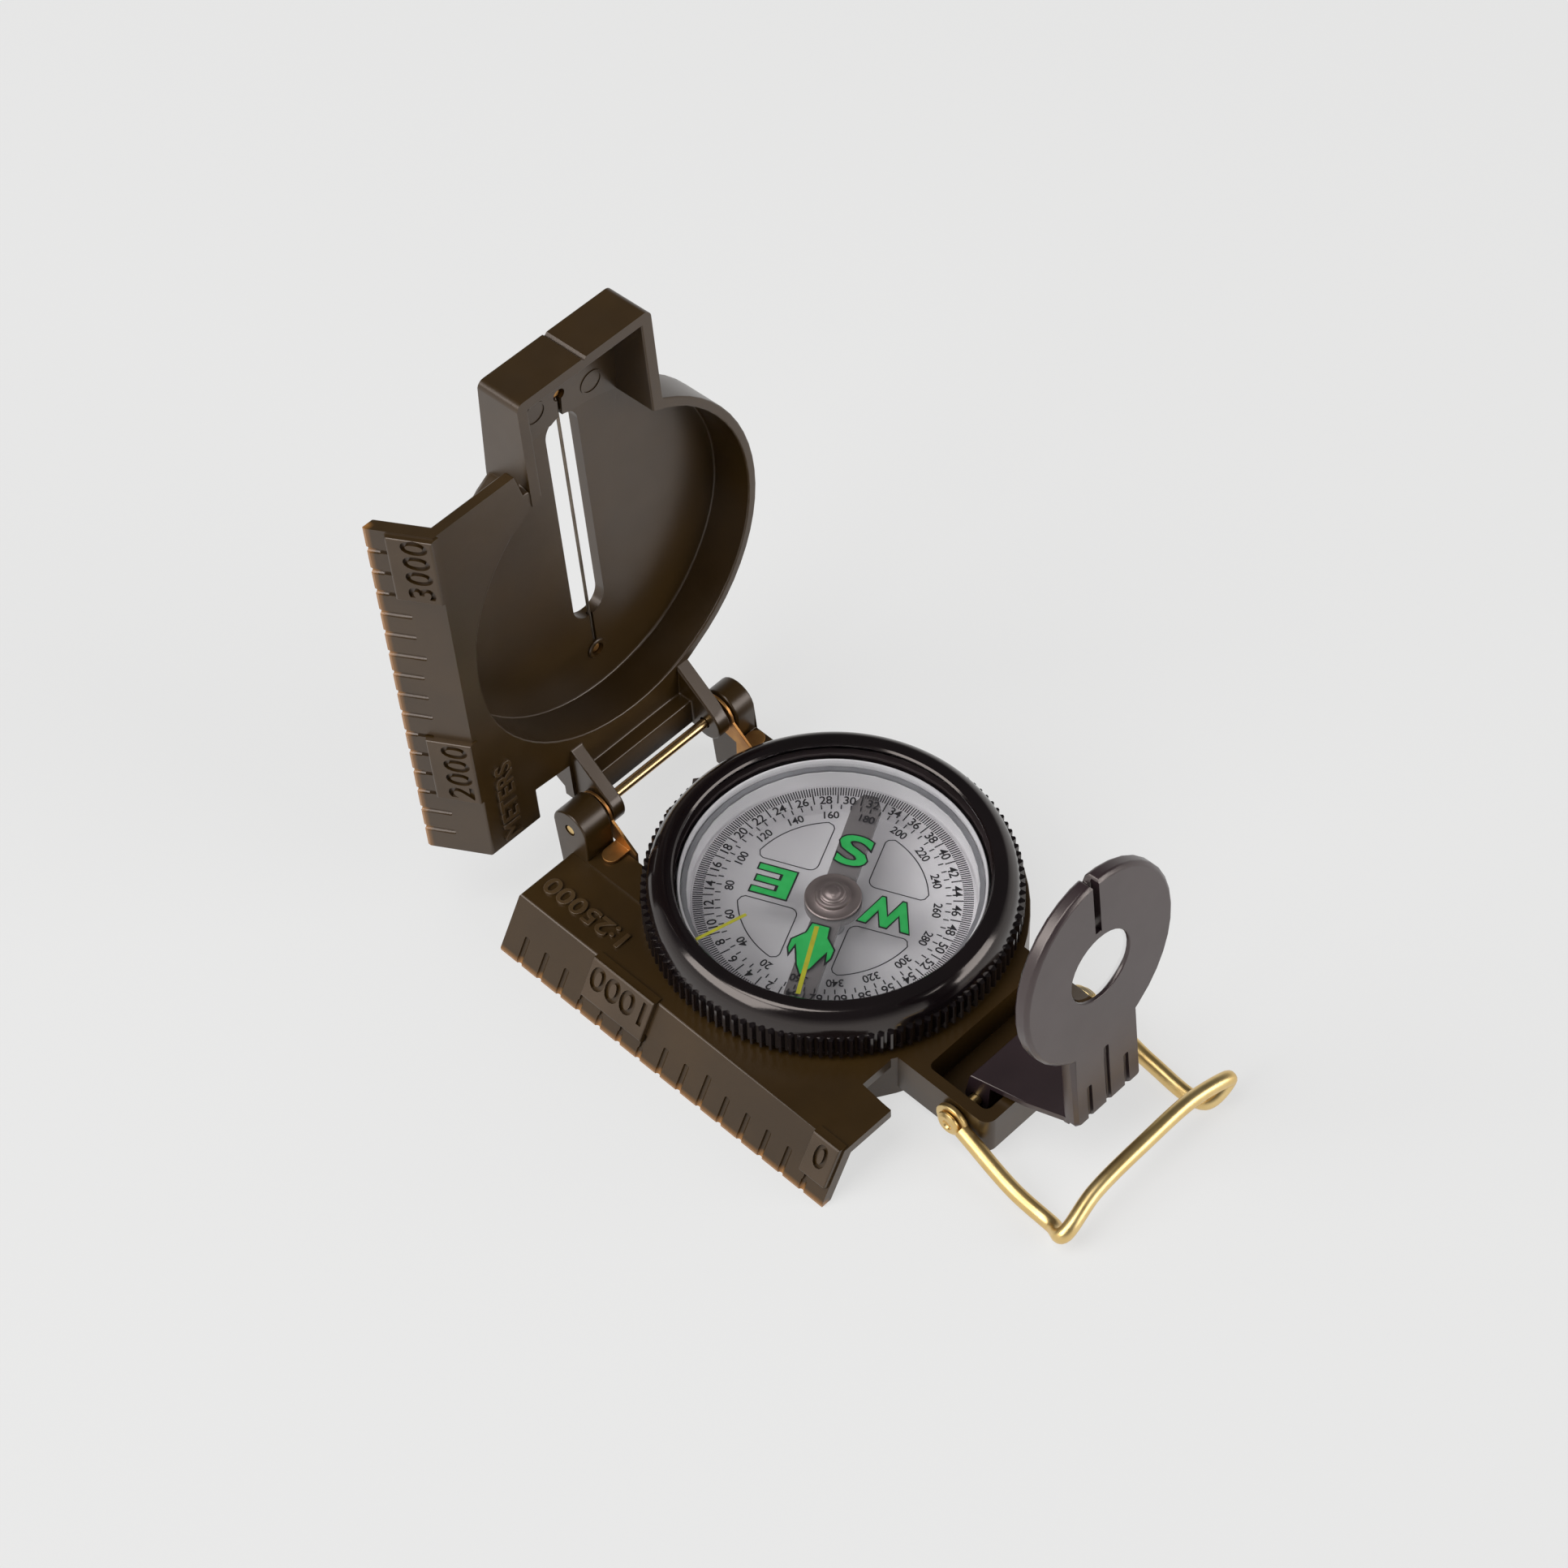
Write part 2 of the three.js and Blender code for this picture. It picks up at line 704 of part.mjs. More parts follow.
function makeMagnet() {
  const half = magnet_width / 2;
  const tip = magnet_length / 2;
  const shoulder = tip - half;
  const shape = slab(outline([
    [-half, -shoulder],
    [-half / 2, -tip],
    [half / 2, -tip],
    [half, -shoulder],
    [half, shoulder],
    [half / 2, tip],
    [-half / 2, tip],
    [-half, shoulder]
  ]), magnet_top - magnet_thick, magnet_top);
  const hub = post(cap_radius, magnet_top - magnet_thick, magnet_top, small_steps * 2);
  const hole = post(hub_hole, 0, card_top, small_steps);
  return piece('magnet_bar', shape.add(hub).subtract(hole), 0x5d5754, 0.45, 0.7);
}

function makeCap() {
  const top = cap_foot + cap_height;
  const socket = post_tip + seat_gap;
  const shape = turned([
    [0, socket + post_radius],
    [post_radius + seat_gap, socket - post_radius],
    [post_radius + seat_gap, cap_foot],
    [cap_radius, cap_foot],
    [cap_radius, cap_foot + cap_rim],
    [cap_radius * 0.62, cap_foot + 1.5 * cap_rim],
    [cap_radius * 0.5, top - 0.8 * cap_rim],
    [cap_radius * 0.3, top],
    [0, top]
  ], small_steps);
  return piece('jewel_cap', shape, 0x5b5452, 0.3, 0.8);
}

function makePost() {
  const foot = chamber_floor + seat_gap / 2;
  const shape = turned([
    [0, foot],
    [post_foot, foot],
    [post_foot, foot + post_foot_thick],
    [post_radius, foot + 2 * post_foot_thick],
    [post_radius, post_tip - 2 * post_radius],
    [0, post_tip]
  ], small_steps);
  return piece('pivot_post', shape, 0xa9a9ac, 0.25, 1);
}

// Lens bracket: oval eye plate on a ribbed stem, with a web back over the tongue to two arms on the axle
const plate_top = plate_rise + plate_thick;
const web_low = deck_height - axle_height + seat_gap;
const web_high = web_low + web_thick;
const web_half = tongue_half - tongue_wall - web_side;

function bracketArm() {
  const profile = new THREE.Shape();
  profile.absarc(0, 0, arm_barrel, 0.5 * Math.PI, 1.5 * Math.PI);
  profile.lineTo(web_high, -web_heel);
  profile.lineTo(web_high, arm_barrel + web_heel);
  return alongX(profile, web_half - arm_thick, web_half);
}

function bracketWeb() {
  const root = plate_foot + plate_edge / 2;
  const web = alongX(outline([
    [web_low, -web_heel],
    [web_high, -web_heel],
    [web_high, web_flat],
    [root + web_thick, plate_rise + over_cut],
    [root, plate_rise + over_cut],
    [web_low, web_flat]
  ]), -web_half, web_half);
  const side = alongY(outline([
    [web_half, -web_heel],
    [web_half + over_cut, -web_heel],
    [web_half + over_cut, plate_top],
    [stem_half, plate_top],
    [stem_half, plate_rise]
  ]), -arm_barrel, web_high + plate_foot);
  const arms = bracketArm().add(mirrored(bracketArm()));
  return web.add(arms).subtract(side).subtract(mirrored(side));
}

function makeBracket() {
  const lens_middle = plate_rise + plate_thick / 2;
  const eye = new THREE.Shape();
  eye.absellipse(0, eye_along, eye_half_width, eye_half_length, 0, 2 * Math.PI);
  const stem = rounded(-stem_half, stem_half, plate_foot, eye_along, over_cut);
  const front = (shape) => {
    const options = {
      depth: plate_thick - 2 * plate_edge,
      bevelThickness: plate_edge,
      bevelSize: plate_edge,
      bevelOffset: -plate_edge,
      bevelSegments: 1,
      curveSegments: 3 * arc_steps
    };
    return solid(new THREE.ExtrudeGeometry(shape, options).translate(0, 0, plate_rise + plate_edge));
  };
  let bracket = front(eye).add(front(stem));
  bracket = bracket.add(bracketWeb());
  const hole = post(eye_hole, plate_rise - over_cut, plate_top + over_cut, round_steps / 2);
  const groove_half = lens_edge / 2 + seat_gap;
  const seat = post(eye_hole + lens_groove, lens_middle - groove_half, lens_middle + groove_half, round_steps / 2);
  bracket = bracket.subtract(hole.add(seat).translate([0, lens_along, 0]));
  const grip_low = plate_top - grip_depth;
  const grip_high = plate_top + over_cut;
  for (const [side, reach] of [[-1, grip_short], [0, grip_long], [1, grip_short]]) {
    const left = side * grip_pitch - grip_width / 2;
    bracket = bracket.subtract(block(left, left + grip_width, 0, reach, grip_low, grip_high));
  }
  const eye_top = eye_along + eye_half_length;
  const sight_low = plate_top - sight_depth;
  const sight_start = lens_along + eye_hole + sight_gap;
  bracket = bracket.subtract(
    block(-sight_width / 2, sight_width / 2, sight_start, eye_top + over_cut, sight_low, plate_top + over_cut)
  );
  const notch = outline([
    [-sight_notch, eye_top + plate_edge],
    [0, eye_top - sight_notch],
    [sight_notch, eye_top + plate_edge]
  ]);
  bracket = bracket.subtract(slab(notch, plate_rise - over_cut, plate_top + over_cut));
  bracket = bracket.subtract(rod(axle_bore, -tongue_half, tongue_half, 0, 0));
  return piece('lens_bracket', bracket, 0x4c4648, 0.5, 0);
}

function makeLens() {
  const middle = plate_rise + plate_thick / 2;
  const rim = eye_hole + lens_groove - seat_gap;
  const face = [];
  const rings = 2;
  for (let i = 0; i <= rings; i++) {
    const r = eye_hole * (1 - i / rings);
    face.push([r, lens_edge / 2 + lens_bulge * (1 - (r / eye_hole) ** 2)]);
  }
  const lower = face.slice().reverse().map(([r, h]) => [r, middle - h]);
  const upper = face.map(([r, h]) => [r, middle + h]);
  const edge = [[rim, middle - lens_edge / 2], [rim, middle + lens_edge / 2]];
  const shape = turned([...lower, ...edge, ...upper], round_steps / 2);
  return piece('magnifier_lens', shape.translate([0, lens_along, 0]), 0xe6eaec, 0.03, 0);
}

function makeAxle() {
  const reach = tongue_half + running_gap + eyelet_thick + seat_gap;
  return piece('bracket_axle', rod(axle_radius, -reach, reach, -axle_reach, axle_height), 0xc9a35f, 0.3, 1);
}

function rivet() {
  const face = tongue_half + running_gap + eyelet_thick + 2 * seat_gap;
  const dimple = rivet_radius * 0.4;
  const shape = turned([
    [0, 0],
    [rivet_radius, 0],
    [rivet_radius, rivet_thick * 0.5],
    [rivet_radius * 0.75, rivet_thick],
    [dimple, rivet_thick],
    [dimple * 0.8, rivet_thick * 0.4],
    [0, rivet_thick * 0.4]
  ], small_steps);
  return shape.rotate([0, 90, 0]).translate([face, -axle_reach, axle_height]);
}

// Thumb loop: bent brass rod, flattened to an eyelet at each end, crossbar curled up
function makeLoop() {
  const inner = tongue_half + running_gap;
  const rod_centre = inner + eyelet_thick;
  const root = rivet_radius + seat_gap;
  const from_axle = (x, back, rise) => new THREE.Vector3(x, -axle_reach - back, axle_height + rise);
  const bend = ([side, back, rise]) => from_axle(side * loop_half, back * loop_reach, rise * loop_drop);
  const bends = [
    [-1, 0.57, -0.75],
    [-1, 0.89, -1],
    [-1.08, 1.02, -0.52],
    [-0.63, 1, 0.12],
    [0.07, 1, 0.4],
    [0.73, 1, 0.33],
    [1.2, 1.03, -0.2],
    [0.96, 0.98, -0.9],
    [0.93, 0.55, -0.8]
  ];
  const path = new THREE.CatmullRomCurve3([
    from_axle(-rod_centre, root, 0),
    ...bends.map(bend),
    from_axle(rod_centre, root, 0)
  ], false, 'centripetal');
  const section = new THREE.Shape();
  section.absarc(0, 0, loop_wire, 0, 2 * Math.PI);
  const options = { steps: 48, bevelEnabled: false, curveSegments: 4, extrudePath: path };
  let loop = solid(new THREE.ExtrudeGeometry(section, options));
  for (const x of [-inner - eyelet_thick, inner]) {
    loop = loop.add(rod(eyelet_radius, x, x + eyelet_thick, -axle_reach, axle_height));
  }
  loop = loop.subtract(rod(axle_bore + seat_gap, -edge_reach, edge_reach, -axle_reach, axle_height));
  const front = -axle_reach + eyelet_radius;
  loop = loop.subtract(block(-inner, inner, -tongue_end - running_gap, front, 0, deck_height));
  return piece('thumb_loop', loop, 0xd6b06a, 0.28, 1);
}

// Assembly
const compass = new THREE.Group();
compass.name = 'lensatic_compass';
compass.add(makeBase());
compass.add(makeHingePin());
compass.add(hingeClip('hinge_clip_right', (clip) => clip));
compass.add(hingeClip('hinge_clip_left', mirrored));
compass.add(makeClickSpring());
compass.add(makeBezel());
compass.add(makeCrystal());
compass.add(makeCrystalRing());
compass.add(makeCapsule());
compass.add(makeGasket());
compass.add(makeLid());
compass.add(makePost());
compass.add(makeAxle());
compass.add(piece('loop_rivet_right', rivet(), 0xcaa462, 0.3, 1));
compass.add(piece('loop_rivet_left', mirrored(rivet()), 0xcaa462, 0.3, 1));
compass.add(makeLoop());

const card = new THREE.Group();
card.rotation.z = card_angle * rad;
card.add(makeCard(), makeMagnet(), makeCap());
compass.add(card);

const lid = new THREE.Group();
lid.position.set(0, hinge_reach, hinge_height);
lid.rotation.x = cover_angle * rad;
lid.add(makeCover(), makeSightingWire());
lid.add(makeAnchor('wire_anchor_near', anchor_near), makeAnchor('wire_anchor_far', anchor_far));
compass.add(lid);

const eyepiece = new THREE.Group();
eyepiece.position.set(0, -axle_reach, axle_height);
eyepiece.rotation.x = bracket_angle * rad;
eyepiece.add(makeBracket(), makeLens());
compass.add(eyepiece);

export default compass;
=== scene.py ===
import math
import bpy
from mathutils import Matrix, Vector


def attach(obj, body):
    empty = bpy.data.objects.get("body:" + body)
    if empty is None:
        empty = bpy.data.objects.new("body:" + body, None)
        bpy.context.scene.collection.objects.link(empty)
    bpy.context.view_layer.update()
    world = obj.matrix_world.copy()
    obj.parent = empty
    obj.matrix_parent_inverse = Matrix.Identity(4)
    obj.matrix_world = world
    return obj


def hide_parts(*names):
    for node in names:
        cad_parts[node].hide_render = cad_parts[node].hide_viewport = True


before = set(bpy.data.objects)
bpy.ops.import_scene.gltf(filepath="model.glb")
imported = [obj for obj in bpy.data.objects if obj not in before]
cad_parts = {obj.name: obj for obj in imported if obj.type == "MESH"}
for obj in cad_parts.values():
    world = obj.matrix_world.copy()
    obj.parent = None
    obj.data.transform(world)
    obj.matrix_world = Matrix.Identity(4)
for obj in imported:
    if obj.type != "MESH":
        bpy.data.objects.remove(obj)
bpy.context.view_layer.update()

mm = 0.001


# Base of the case: one moulding of olive-brown plastic with the round well, the marked straight edge,
# the two hinge ears and the tongue at the front. The edges are softened as they leave the mould.
# Along the thin straight edge an amber glow, standing for light passing through the wall, is painted
# into the colour.
def take(piece):
    if bpy.context.object and bpy.context.object.mode != "OBJECT":
        bpy.ops.object.mode_set(mode="OBJECT")
    bpy.ops.object.select_all(action="DESELECT")
    piece.select_set(True)
    bpy.context.view_layer.objects.active = piece
    return piece


def soft_faces(piece, flat=lambda face: False):
    smooth_up_to = math.radians(28)
    large_face_weight = 80
    take(piece)
    bpy.ops.mesh.customdata_custom_splitnormals_clear()
    bpy.ops.object.shade_smooth_by_angle(angle=smooth_up_to)
    for face in piece.data.polygons:
        face.use_smooth = not flat(face)
    even = piece.modifiers.new("even_faces", "WEIGHTED_NORMAL")
    even.mode = "FACE_AREA_WITH_ANGLE"
    even.keep_sharp = True
    even.weight = large_face_weight
    bpy.ops.object.modifier_apply(modifier="even_faces")
    return piece


def select_only(piece, vertices=None, edges=None):
    mesh = piece.data
    for items, chosen in ((mesh.vertices, vertices), (mesh.edges, edges), (mesh.polygons, None)):
        for item in items:
            item.select = bool(chosen and chosen[item.index])


def edges_with_room(piece, distance, tight):
    points = [vertex.co for vertex in piece.data.vertices]
    shortest = [1.0] * len(points)
    for a, b in (line.vertices for line in piece.data.edges):
        length = (points[a] - points[b]).length
        shortest[a] = min(shortest[a], length)
        shortest[b] = min(shortest[b], length)
    free = []
    for line in piece.data.edges:
        a, b = line.vertices
        middle = (points[a] + points[b]) / 2
        space = min(shortest[a], shortest[b])
        free.append(line.select and not tight(middle) and space > distance)
    return free


def moulded_copy(node, name, edge, room=2.2, tight=lambda place: False):
    weld_gap = 0.004 * mm
    flat_turn = math.radians(0.6)
    sharp_turn = math.radians(32)
    piece = bpy.data.objects.new(name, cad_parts[node].data.copy())
    bpy.context.scene.collection.objects.link(piece)
    piece.data.materials.clear()
    take(piece)
    bpy.ops.mesh.customdata_custom_splitnormals_clear()
    bpy.ops.object.mode_set(mode="EDIT")
    bpy.ops.mesh.select_mode(type="EDGE")
    bpy.ops.mesh.select_all(action="SELECT")
    bpy.ops.mesh.remove_doubles(threshold=weld_gap)
    bpy.ops.mesh.dissolve_limited(angle_limit=flat_turn)
    bpy.ops.mesh.select_all(action="DESELECT")
    bpy.ops.mesh.edges_select_sharp(sharpness=sharp_turn)
    bpy.ops.object.mode_set(mode="OBJECT")
    rounded = edges_with_room(piece, room * edge, tight)
    select_only(piece, edges=rounded)
    if edge and any(rounded):
        bpy.ops.object.mode_set(mode="EDIT")
        bpy.ops.mesh.bevel(
            offset=edge, segments=4, profile=0.5, affect="EDGES", clamp_overlap=False
        )
        bpy.ops.mesh.select_all(action="SELECT")
        bpy.ops.mesh.quads_convert_to_tris(quad_method="BEAUTY", ngon_method="BEAUTY")
        bpy.ops.object.mode_set(mode="OBJECT")
    return soft_faces(piece)


def linear(red, green, blue):
    level = [c / 255 for c in (red, green, blue)]
    return [c / 12.92 if c < 0.04045 else ((c + 0.055) / 1.055) ** 2.4 for c in level] + [1]


def finish(name):
    material = bpy.data.materials.new(name)
    material.use_nodes = True
    nodes = material.node_tree.nodes
    return material, nodes, material.node_tree.links, nodes["Principled BSDF"]


def cloud(nodes, links, scale, detail=4):
    place = nodes.new("ShaderNodeTexCoord")
    noise = nodes.new("ShaderNodeTexNoise")
    noise.inputs["Scale"].default_value = scale
    noise.inputs["Detail"].default_value = detail
    links.new(place.outputs["Object"], noise.inputs["Vector"])
    return noise.outputs["Fac"]


def ramp(nodes, links, value, low, high, colours):
    blend = nodes.new("ShaderNodeValToRGB")
    for element, position, colour in zip(blend.color_ramp.elements, (low, high), colours):
        element.position = position
        element.color = colour
    links.new(value, blend.inputs["Fac"])
    return blend.outputs["Color"]


def spread(nodes, links, value, low, high, start=0, end=1):
    ranged = nodes.new("ShaderNodeMapRange")
    ranged.inputs["From Min"].default_value = start
    ranged.inputs["From Max"].default_value = end
    ranged.inputs["To Min"].default_value = low
    ranged.inputs["To Max"].default_value = high
    links.new(value, ranged.inputs["Value"])
    return ranged.outputs["Result"]


def calc(nodes, links, operation, first, second, clamp=False):
    step = nodes.new("ShaderNodeMath")
    step.operation = operation
    step.use_clamp = clamp
    for socket, value in zip(step.inputs, (first, second)):
        if isinstance(value, (int, float)):
            socket.default_value = value
        else:
            links.new(value, socket)
    return step.outputs["Value"]


def pitted(nodes, links, shader, value, depth, strength):
    bump = nodes.new("ShaderNodeBump")
    bump.inputs["Strength"].default_value = strength
    bump.inputs["Distance"].default_value = depth
    links.new(value, bump.inputs["Height"])
    links.new(bump.outputs["Normal"], shader.inputs["Normal"])


# Painted glow: mixes amber into the base colour near the foot of the thin straight edge, standing in
# for light shining through the wall.
def thin_lip(nodes, links, colour, foot, direction, reach):
    amber = linear(160, 110, 54)
    amber_share = 0.85
    full_to = 0.15 * mm
    strip_outer = -33.2 * mm
    strip_inner = -32.4 * mm
    place = nodes.new("ShaderNodeTexCoord")
    offset = nodes.new("ShaderNodeVectorMath")
    offset.operation = "SUBTRACT"
    offset.inputs[1].default_value = foot
    height = nodes.new("ShaderNodeVectorMath")
    height.operation = "DOT_PRODUCT"
    height.inputs[1].default_value = direction
    across = nodes.new("ShaderNodeSeparateXYZ")
    links.new(place.outputs["Object"], offset.inputs[0])
    links.new(offset.outputs["Vector"], height.inputs[0])
    links.new(place.outputs["Object"], across.inputs["Vector"])
    near = spread(nodes, links, height.outputs["Value"], amber_share, 0, full_to, reach)
    strip = spread(nodes, links, across.outputs["X"], 1, 0, strip_outer, strip_inner)
    glow = nodes.new("ShaderNodeMix")
    glow.data_type = "RGBA"
    glow.inputs["B"].default_value = amber
    links.new(calc(nodes, links, "MULTIPLY", near, strip), glow.inputs["Factor"])
    links.new(colour, glow.inputs["A"])
    return glow.outputs["Result"]


def moulded_plastic(name, dark, light, smooth, rough, shine=0.5, painted_glow=None):
    warm_shine = (1, 0.89, 0.83, 1)
    material, nodes, links, shader = finish(name)
    colour = ramp(nodes, links, cloud(nodes, links, 90), 0.35, 0.7, (dark, light))
    if painted_glow:
        colour = thin_lip(nodes, links, colour, *painted_glow)
    links.new(colour, shader.inputs["Base Color"])
    handled = spread(nodes, links, cloud(nodes, links, 260, 6), smooth, rough)
    links.new(handled, shader.inputs["Roughness"])
    pitted(nodes, links, shader, cloud(nodes, links, 2600, 2), 0.03 * mm, 0.12)
    shader.inputs["Specular IOR Level"].default_value = shine
    shader.inputs["Specular Tint"].default_value = warm_shine
    return material


olive_dark = linear(48, 33, 10)
olive_light = linear(57, 40, 14)
glow_reach = 1.1 * mm
base_glow_edge = (Vector((0, 0, 0)), Vector((0, 0, 1)), glow_reach)
olive = moulded_plastic(
    "olive_plastic", olive_dark, olive_light, smooth=0.25, rough=0.36, shine=0.6, painted_glow=base_glow_edge
)
case_edge = 0.3 * mm
tight_reach = 6 * mm
well_side = Vector((-27.9, 0, 6.9)) * mm
base_shell = moulded_copy(
    "base", "base_shell", case_edge, tight=lambda place: (place - well_side).length < tight_reach
)
base_shell.data.materials.append(olive)
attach(base_shell, "case")
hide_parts("base")

# Figures on the base: the distance numbers are sunk into the raised blocks of the straight edge, and
# the map scale stands proud of the deck. Both are formed in the mould, in the same plastic; the
# lighter tone of the block faces is a painted sheen, and that of the raised figures a painted
# highlight.
right = Vector((1, 0, 0))
reading = Vector((0, 1, 0))
edge_foot = Vector((-33.9, 0, 0.5)) * mm
edge_up = Vector((4.6, 0, 8.3)).normalized()
edge_out = Vector((-edge_up.z, 0, edge_up.x))
hinge_y = 33.8


def named(piece, name):
    piece.name = name
    piece.data.name = name
    return piece


def weld(piece, gap=0.001 * mm):
    take(piece)
    bpy.ops.object.mode_set(mode="EDIT")
    bpy.ops.mesh.select_all(action="SELECT")
    bpy.ops.mesh.remove_doubles(threshold=gap)
    bpy.ops.mesh.normals_make_consistent(inside=False)
    bpy.ops.object.mode_set(mode="OBJECT")
    return piece


def lettering(name, words, height, thick, length=None, weight=0.0, round_edge=0.0, gap=1.0):
    capital_share = 0.73
    bpy.ops.object.select_all(action="DESELECT")
    bpy.ops.object.text_add()
    text = bpy.context.object.data
    text.body = words
    text.align_x = "CENTER"
    text.align_y = "CENTER"
    text.size = height / capital_share
    text.space_character = gap
    text.extrude = thick / 2
    text.offset = weight
    text.bevel_depth = round_edge
    text.resolution_u = 4
    bpy.ops.object.convert(target="MESH")
    piece = named(bpy.context.object, name)
    bpy.ops.object.origin_set(type="ORIGIN_GEOMETRY", center="BOUNDS")
    piece.location = (0, 0, 0)
    size = piece.dimensions
    piece.scale = (length / size.x if length else 1, height / size.y, 1)
    bpy.ops.object.transform_apply(location=True, rotation=True, scale=True)
    return weld(piece)


def placed(piece, matrix):
    take(piece)
    piece.matrix_world = matrix
    bpy.ops.object.transform_apply(location=True, rotation=True, scale=True)
    return piece


def settle(piece, across, up, middle, turn=Matrix.Identity(4)):
    facing = Matrix((across, up, across.cross(up))).transposed().to_4x4()
    facing.translation = middle
    return placed(piece, turn @ facing)


def on_edge(along, up, out):
    return edge_foot + edge_up * (up * mm) + edge_out * (out * mm) + Vector((0, along * mm, 0))


def soften(piece, width, angle=30):
    take(piece)
    rounded = piece.modifiers.new("soft_edges", "BEVEL")
    rounded.width = width
    rounded.segments = 3
    rounded.angle_limit = math.radians(angle)
    bpy.ops.object.modifier_apply(modifier="soft_edges")
    return piece


def combine(shell, other, operation):
    take(shell)
    step = shell.modifiers.new("combine", "BOOLEAN")
    step.operation = operation
    step.solver = "EXACT"
    step.object = other
    bpy.ops.object.modifier_apply(modifier="combine")
    bpy.data.objects.remove(other)


def sink(shell, stamp):
    combine(shell, stamp, "DIFFERENCE")
    soft_faces(shell)


def join_all(name, parts):
    bpy.ops.object.select_all(action="DESELECT")
    for part in parts:
        part.select_set(True)
    bpy.context.view_layer.objects.active = parts[0]
    bpy.ops.object.join()
    return named(parts[0], name)


def lift_blocks(shell, turn=Matrix.Identity(4)):
    off_edge = 0.45 * mm
    block_lift = 0.25 * mm
    take(shell)
    back = turn.inverted()
    select_only(shell, vertices=[
        (back @ vertex.co - edge_foot).dot(edge_out) > off_edge for vertex in shell.data.vertices
    ])
    bpy.ops.object.mode_set(mode="EDIT")
    bpy.ops.mesh.select_mode(type="VERT")
    bpy.ops.transform.translate(value=turn.to_3x3() @ edge_out * block_lift)
    bpy.ops.object.mode_set(mode="OBJECT")


def cut_marks(shell, start, direction, blocks, turn=Matrix.Identity(4)):
    pitch, count, long_every = 4, 15, 5
    long_tick, short_tick, tick_below_block = 5.2, 4.3, 1.6
    groove_radius = 0.5 * mm
    run_out = 1
    cutters = []
    for i in range(1, count + 1):
        along = pitch * i
        length = long_tick if i % long_every == 0 else short_tick
        if any(low <= along <= high for low, high in blocks):
            length = tick_below_block
        bpy.ops.object.select_all(action="DESELECT")
        bpy.ops.mesh.primitive_cylinder_add(
            vertices=20, radius=groove_radius, depth=(length + run_out) * mm
        )
        cutter = soften(bpy.context.object, round_end, 60)
        middle = on_edge(start + direction * along, (length - run_out) / 2, 0)
        cutters.append(settle(cutter, reading, edge_up.cross(reading), middle, turn))
    sink(shell, join_all("cutters", cutters))


# The block faces get a rougher finish and a lighter colour; the lighter colour is a painted sheen.
def matt_blocks(shell, colour, turn=Matrix.Identity(4)):
    block_top = 0.85 * mm
    shell.data.materials.append(colour)
    back = turn.inverted()
    for face in shell.data.polygons:
        if (back @ face.center - edge_foot).dot(edge_out) > block_top:
            face.material_index = 1


round_end = 0.3 * mm
block_face = 0.95
stamp_height = 3.9 * mm
stamp_depth = 0.9 * mm
stamp_level = 6.9
lift_blocks(base_shell)
cut_marks(base_shell, hinge_y, -1, ((16, 28), (57.5, 64)))
for words, middle, length in (("1000", 21.9, 10.6), ("0", 61.4, 2.3)):
    stamp = lettering("stamp", words, stamp_height, stamp_depth, length * mm, weight=0.13 * mm)
    settle(stamp, reading, -edge_up, on_edge(hinge_y - middle, stamp_level, block_face))
    sink(base_shell, stamp)
# Block faces: rougher plastic, coloured lighter than the deck as a painted sheen.
matt_block_painted_sheen = moulded_plastic(
    "block_olive_painted_sheen", linear(58, 44, 26), linear(70, 54, 36), smooth=0.42, rough=0.54, shine=0.6
)
matt_blocks(base_shell, matt_block_painted_sheen)
# Raised lettering: coloured lighter than the deck as a painted highlight on the raised letters.
letter_painted_highlight = moulded_plastic(
    "lettering_painted_highlight", linear(62, 45, 22), linear(76, 58, 34), smooth=0.28, rough=0.4, shine=0.7
)
deck_x = -25.3
deck_level = 8.8
raised = {"thick": 0.7 * mm, "weight": 0.02 * mm, "round_edge": 0.08 * mm}
deck_figures = lettering("map_scale_figures", "1:25000", 3.0 * mm, length=15.6 * mm, **raised)
settle(deck_figures, reading, -right, Vector((deck_x, 24.4, deck_level)) * mm)
deck_figures.data.materials.append(letter_painted_highlight)
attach(deck_figures, "case")

# Capsule: a white moulded cup pressed into the well, with the steel pivot post in its floor and a
# rubber ring under the lid. The damping oil that fills it is clear and isn't shown.
turned_smooth = math.radians(35)


def rings(name, profile, steps, closed):
    bpy.ops.object.select_all(action="DESELECT")
    radius, level = profile[0]
    bpy.ops.mesh.primitive_circle_add(
        vertices=steps, radius=radius * mm, location=(0, 0, level * mm)
    )
    piece = named(bpy.context.object, name)
    bpy.ops.object.transform_apply(location=True, rotation=True, scale=True)
    bpy.ops.object.mode_set(mode="EDIT")
    bpy.ops.mesh.select_mode(type="EDGE")
    bpy.ops.mesh.select_all(action="SELECT")
    if not closed:
        bpy.ops.mesh.edge_face_add()
        bpy.ops.mesh.select_mode(type="FACE")
        bpy.ops.mesh.select_all(action="SELECT")
        bpy.ops.mesh.select_mode(type="EDGE")
    following = profile[1:] + profile[:1] if closed else profile[1:]
    for (r0, z0), (r1, z1) in zip(profile, following):
        bpy.ops.mesh.extrude_edges_move(TRANSFORM_OT_translate={"value": (0, 0, (z1 - z0) * mm)})
        bpy.ops.transform.resize(value=(r1 / r0, r1 / r0, 1), center_override=(0, 0, z1 * mm))
    if not closed:
        bpy.ops.mesh.edge_face_add()
    weld(piece, 0.002 * mm)
    bpy.ops.object.shade_smooth_by_angle(angle=turned_smooth)
    return piece


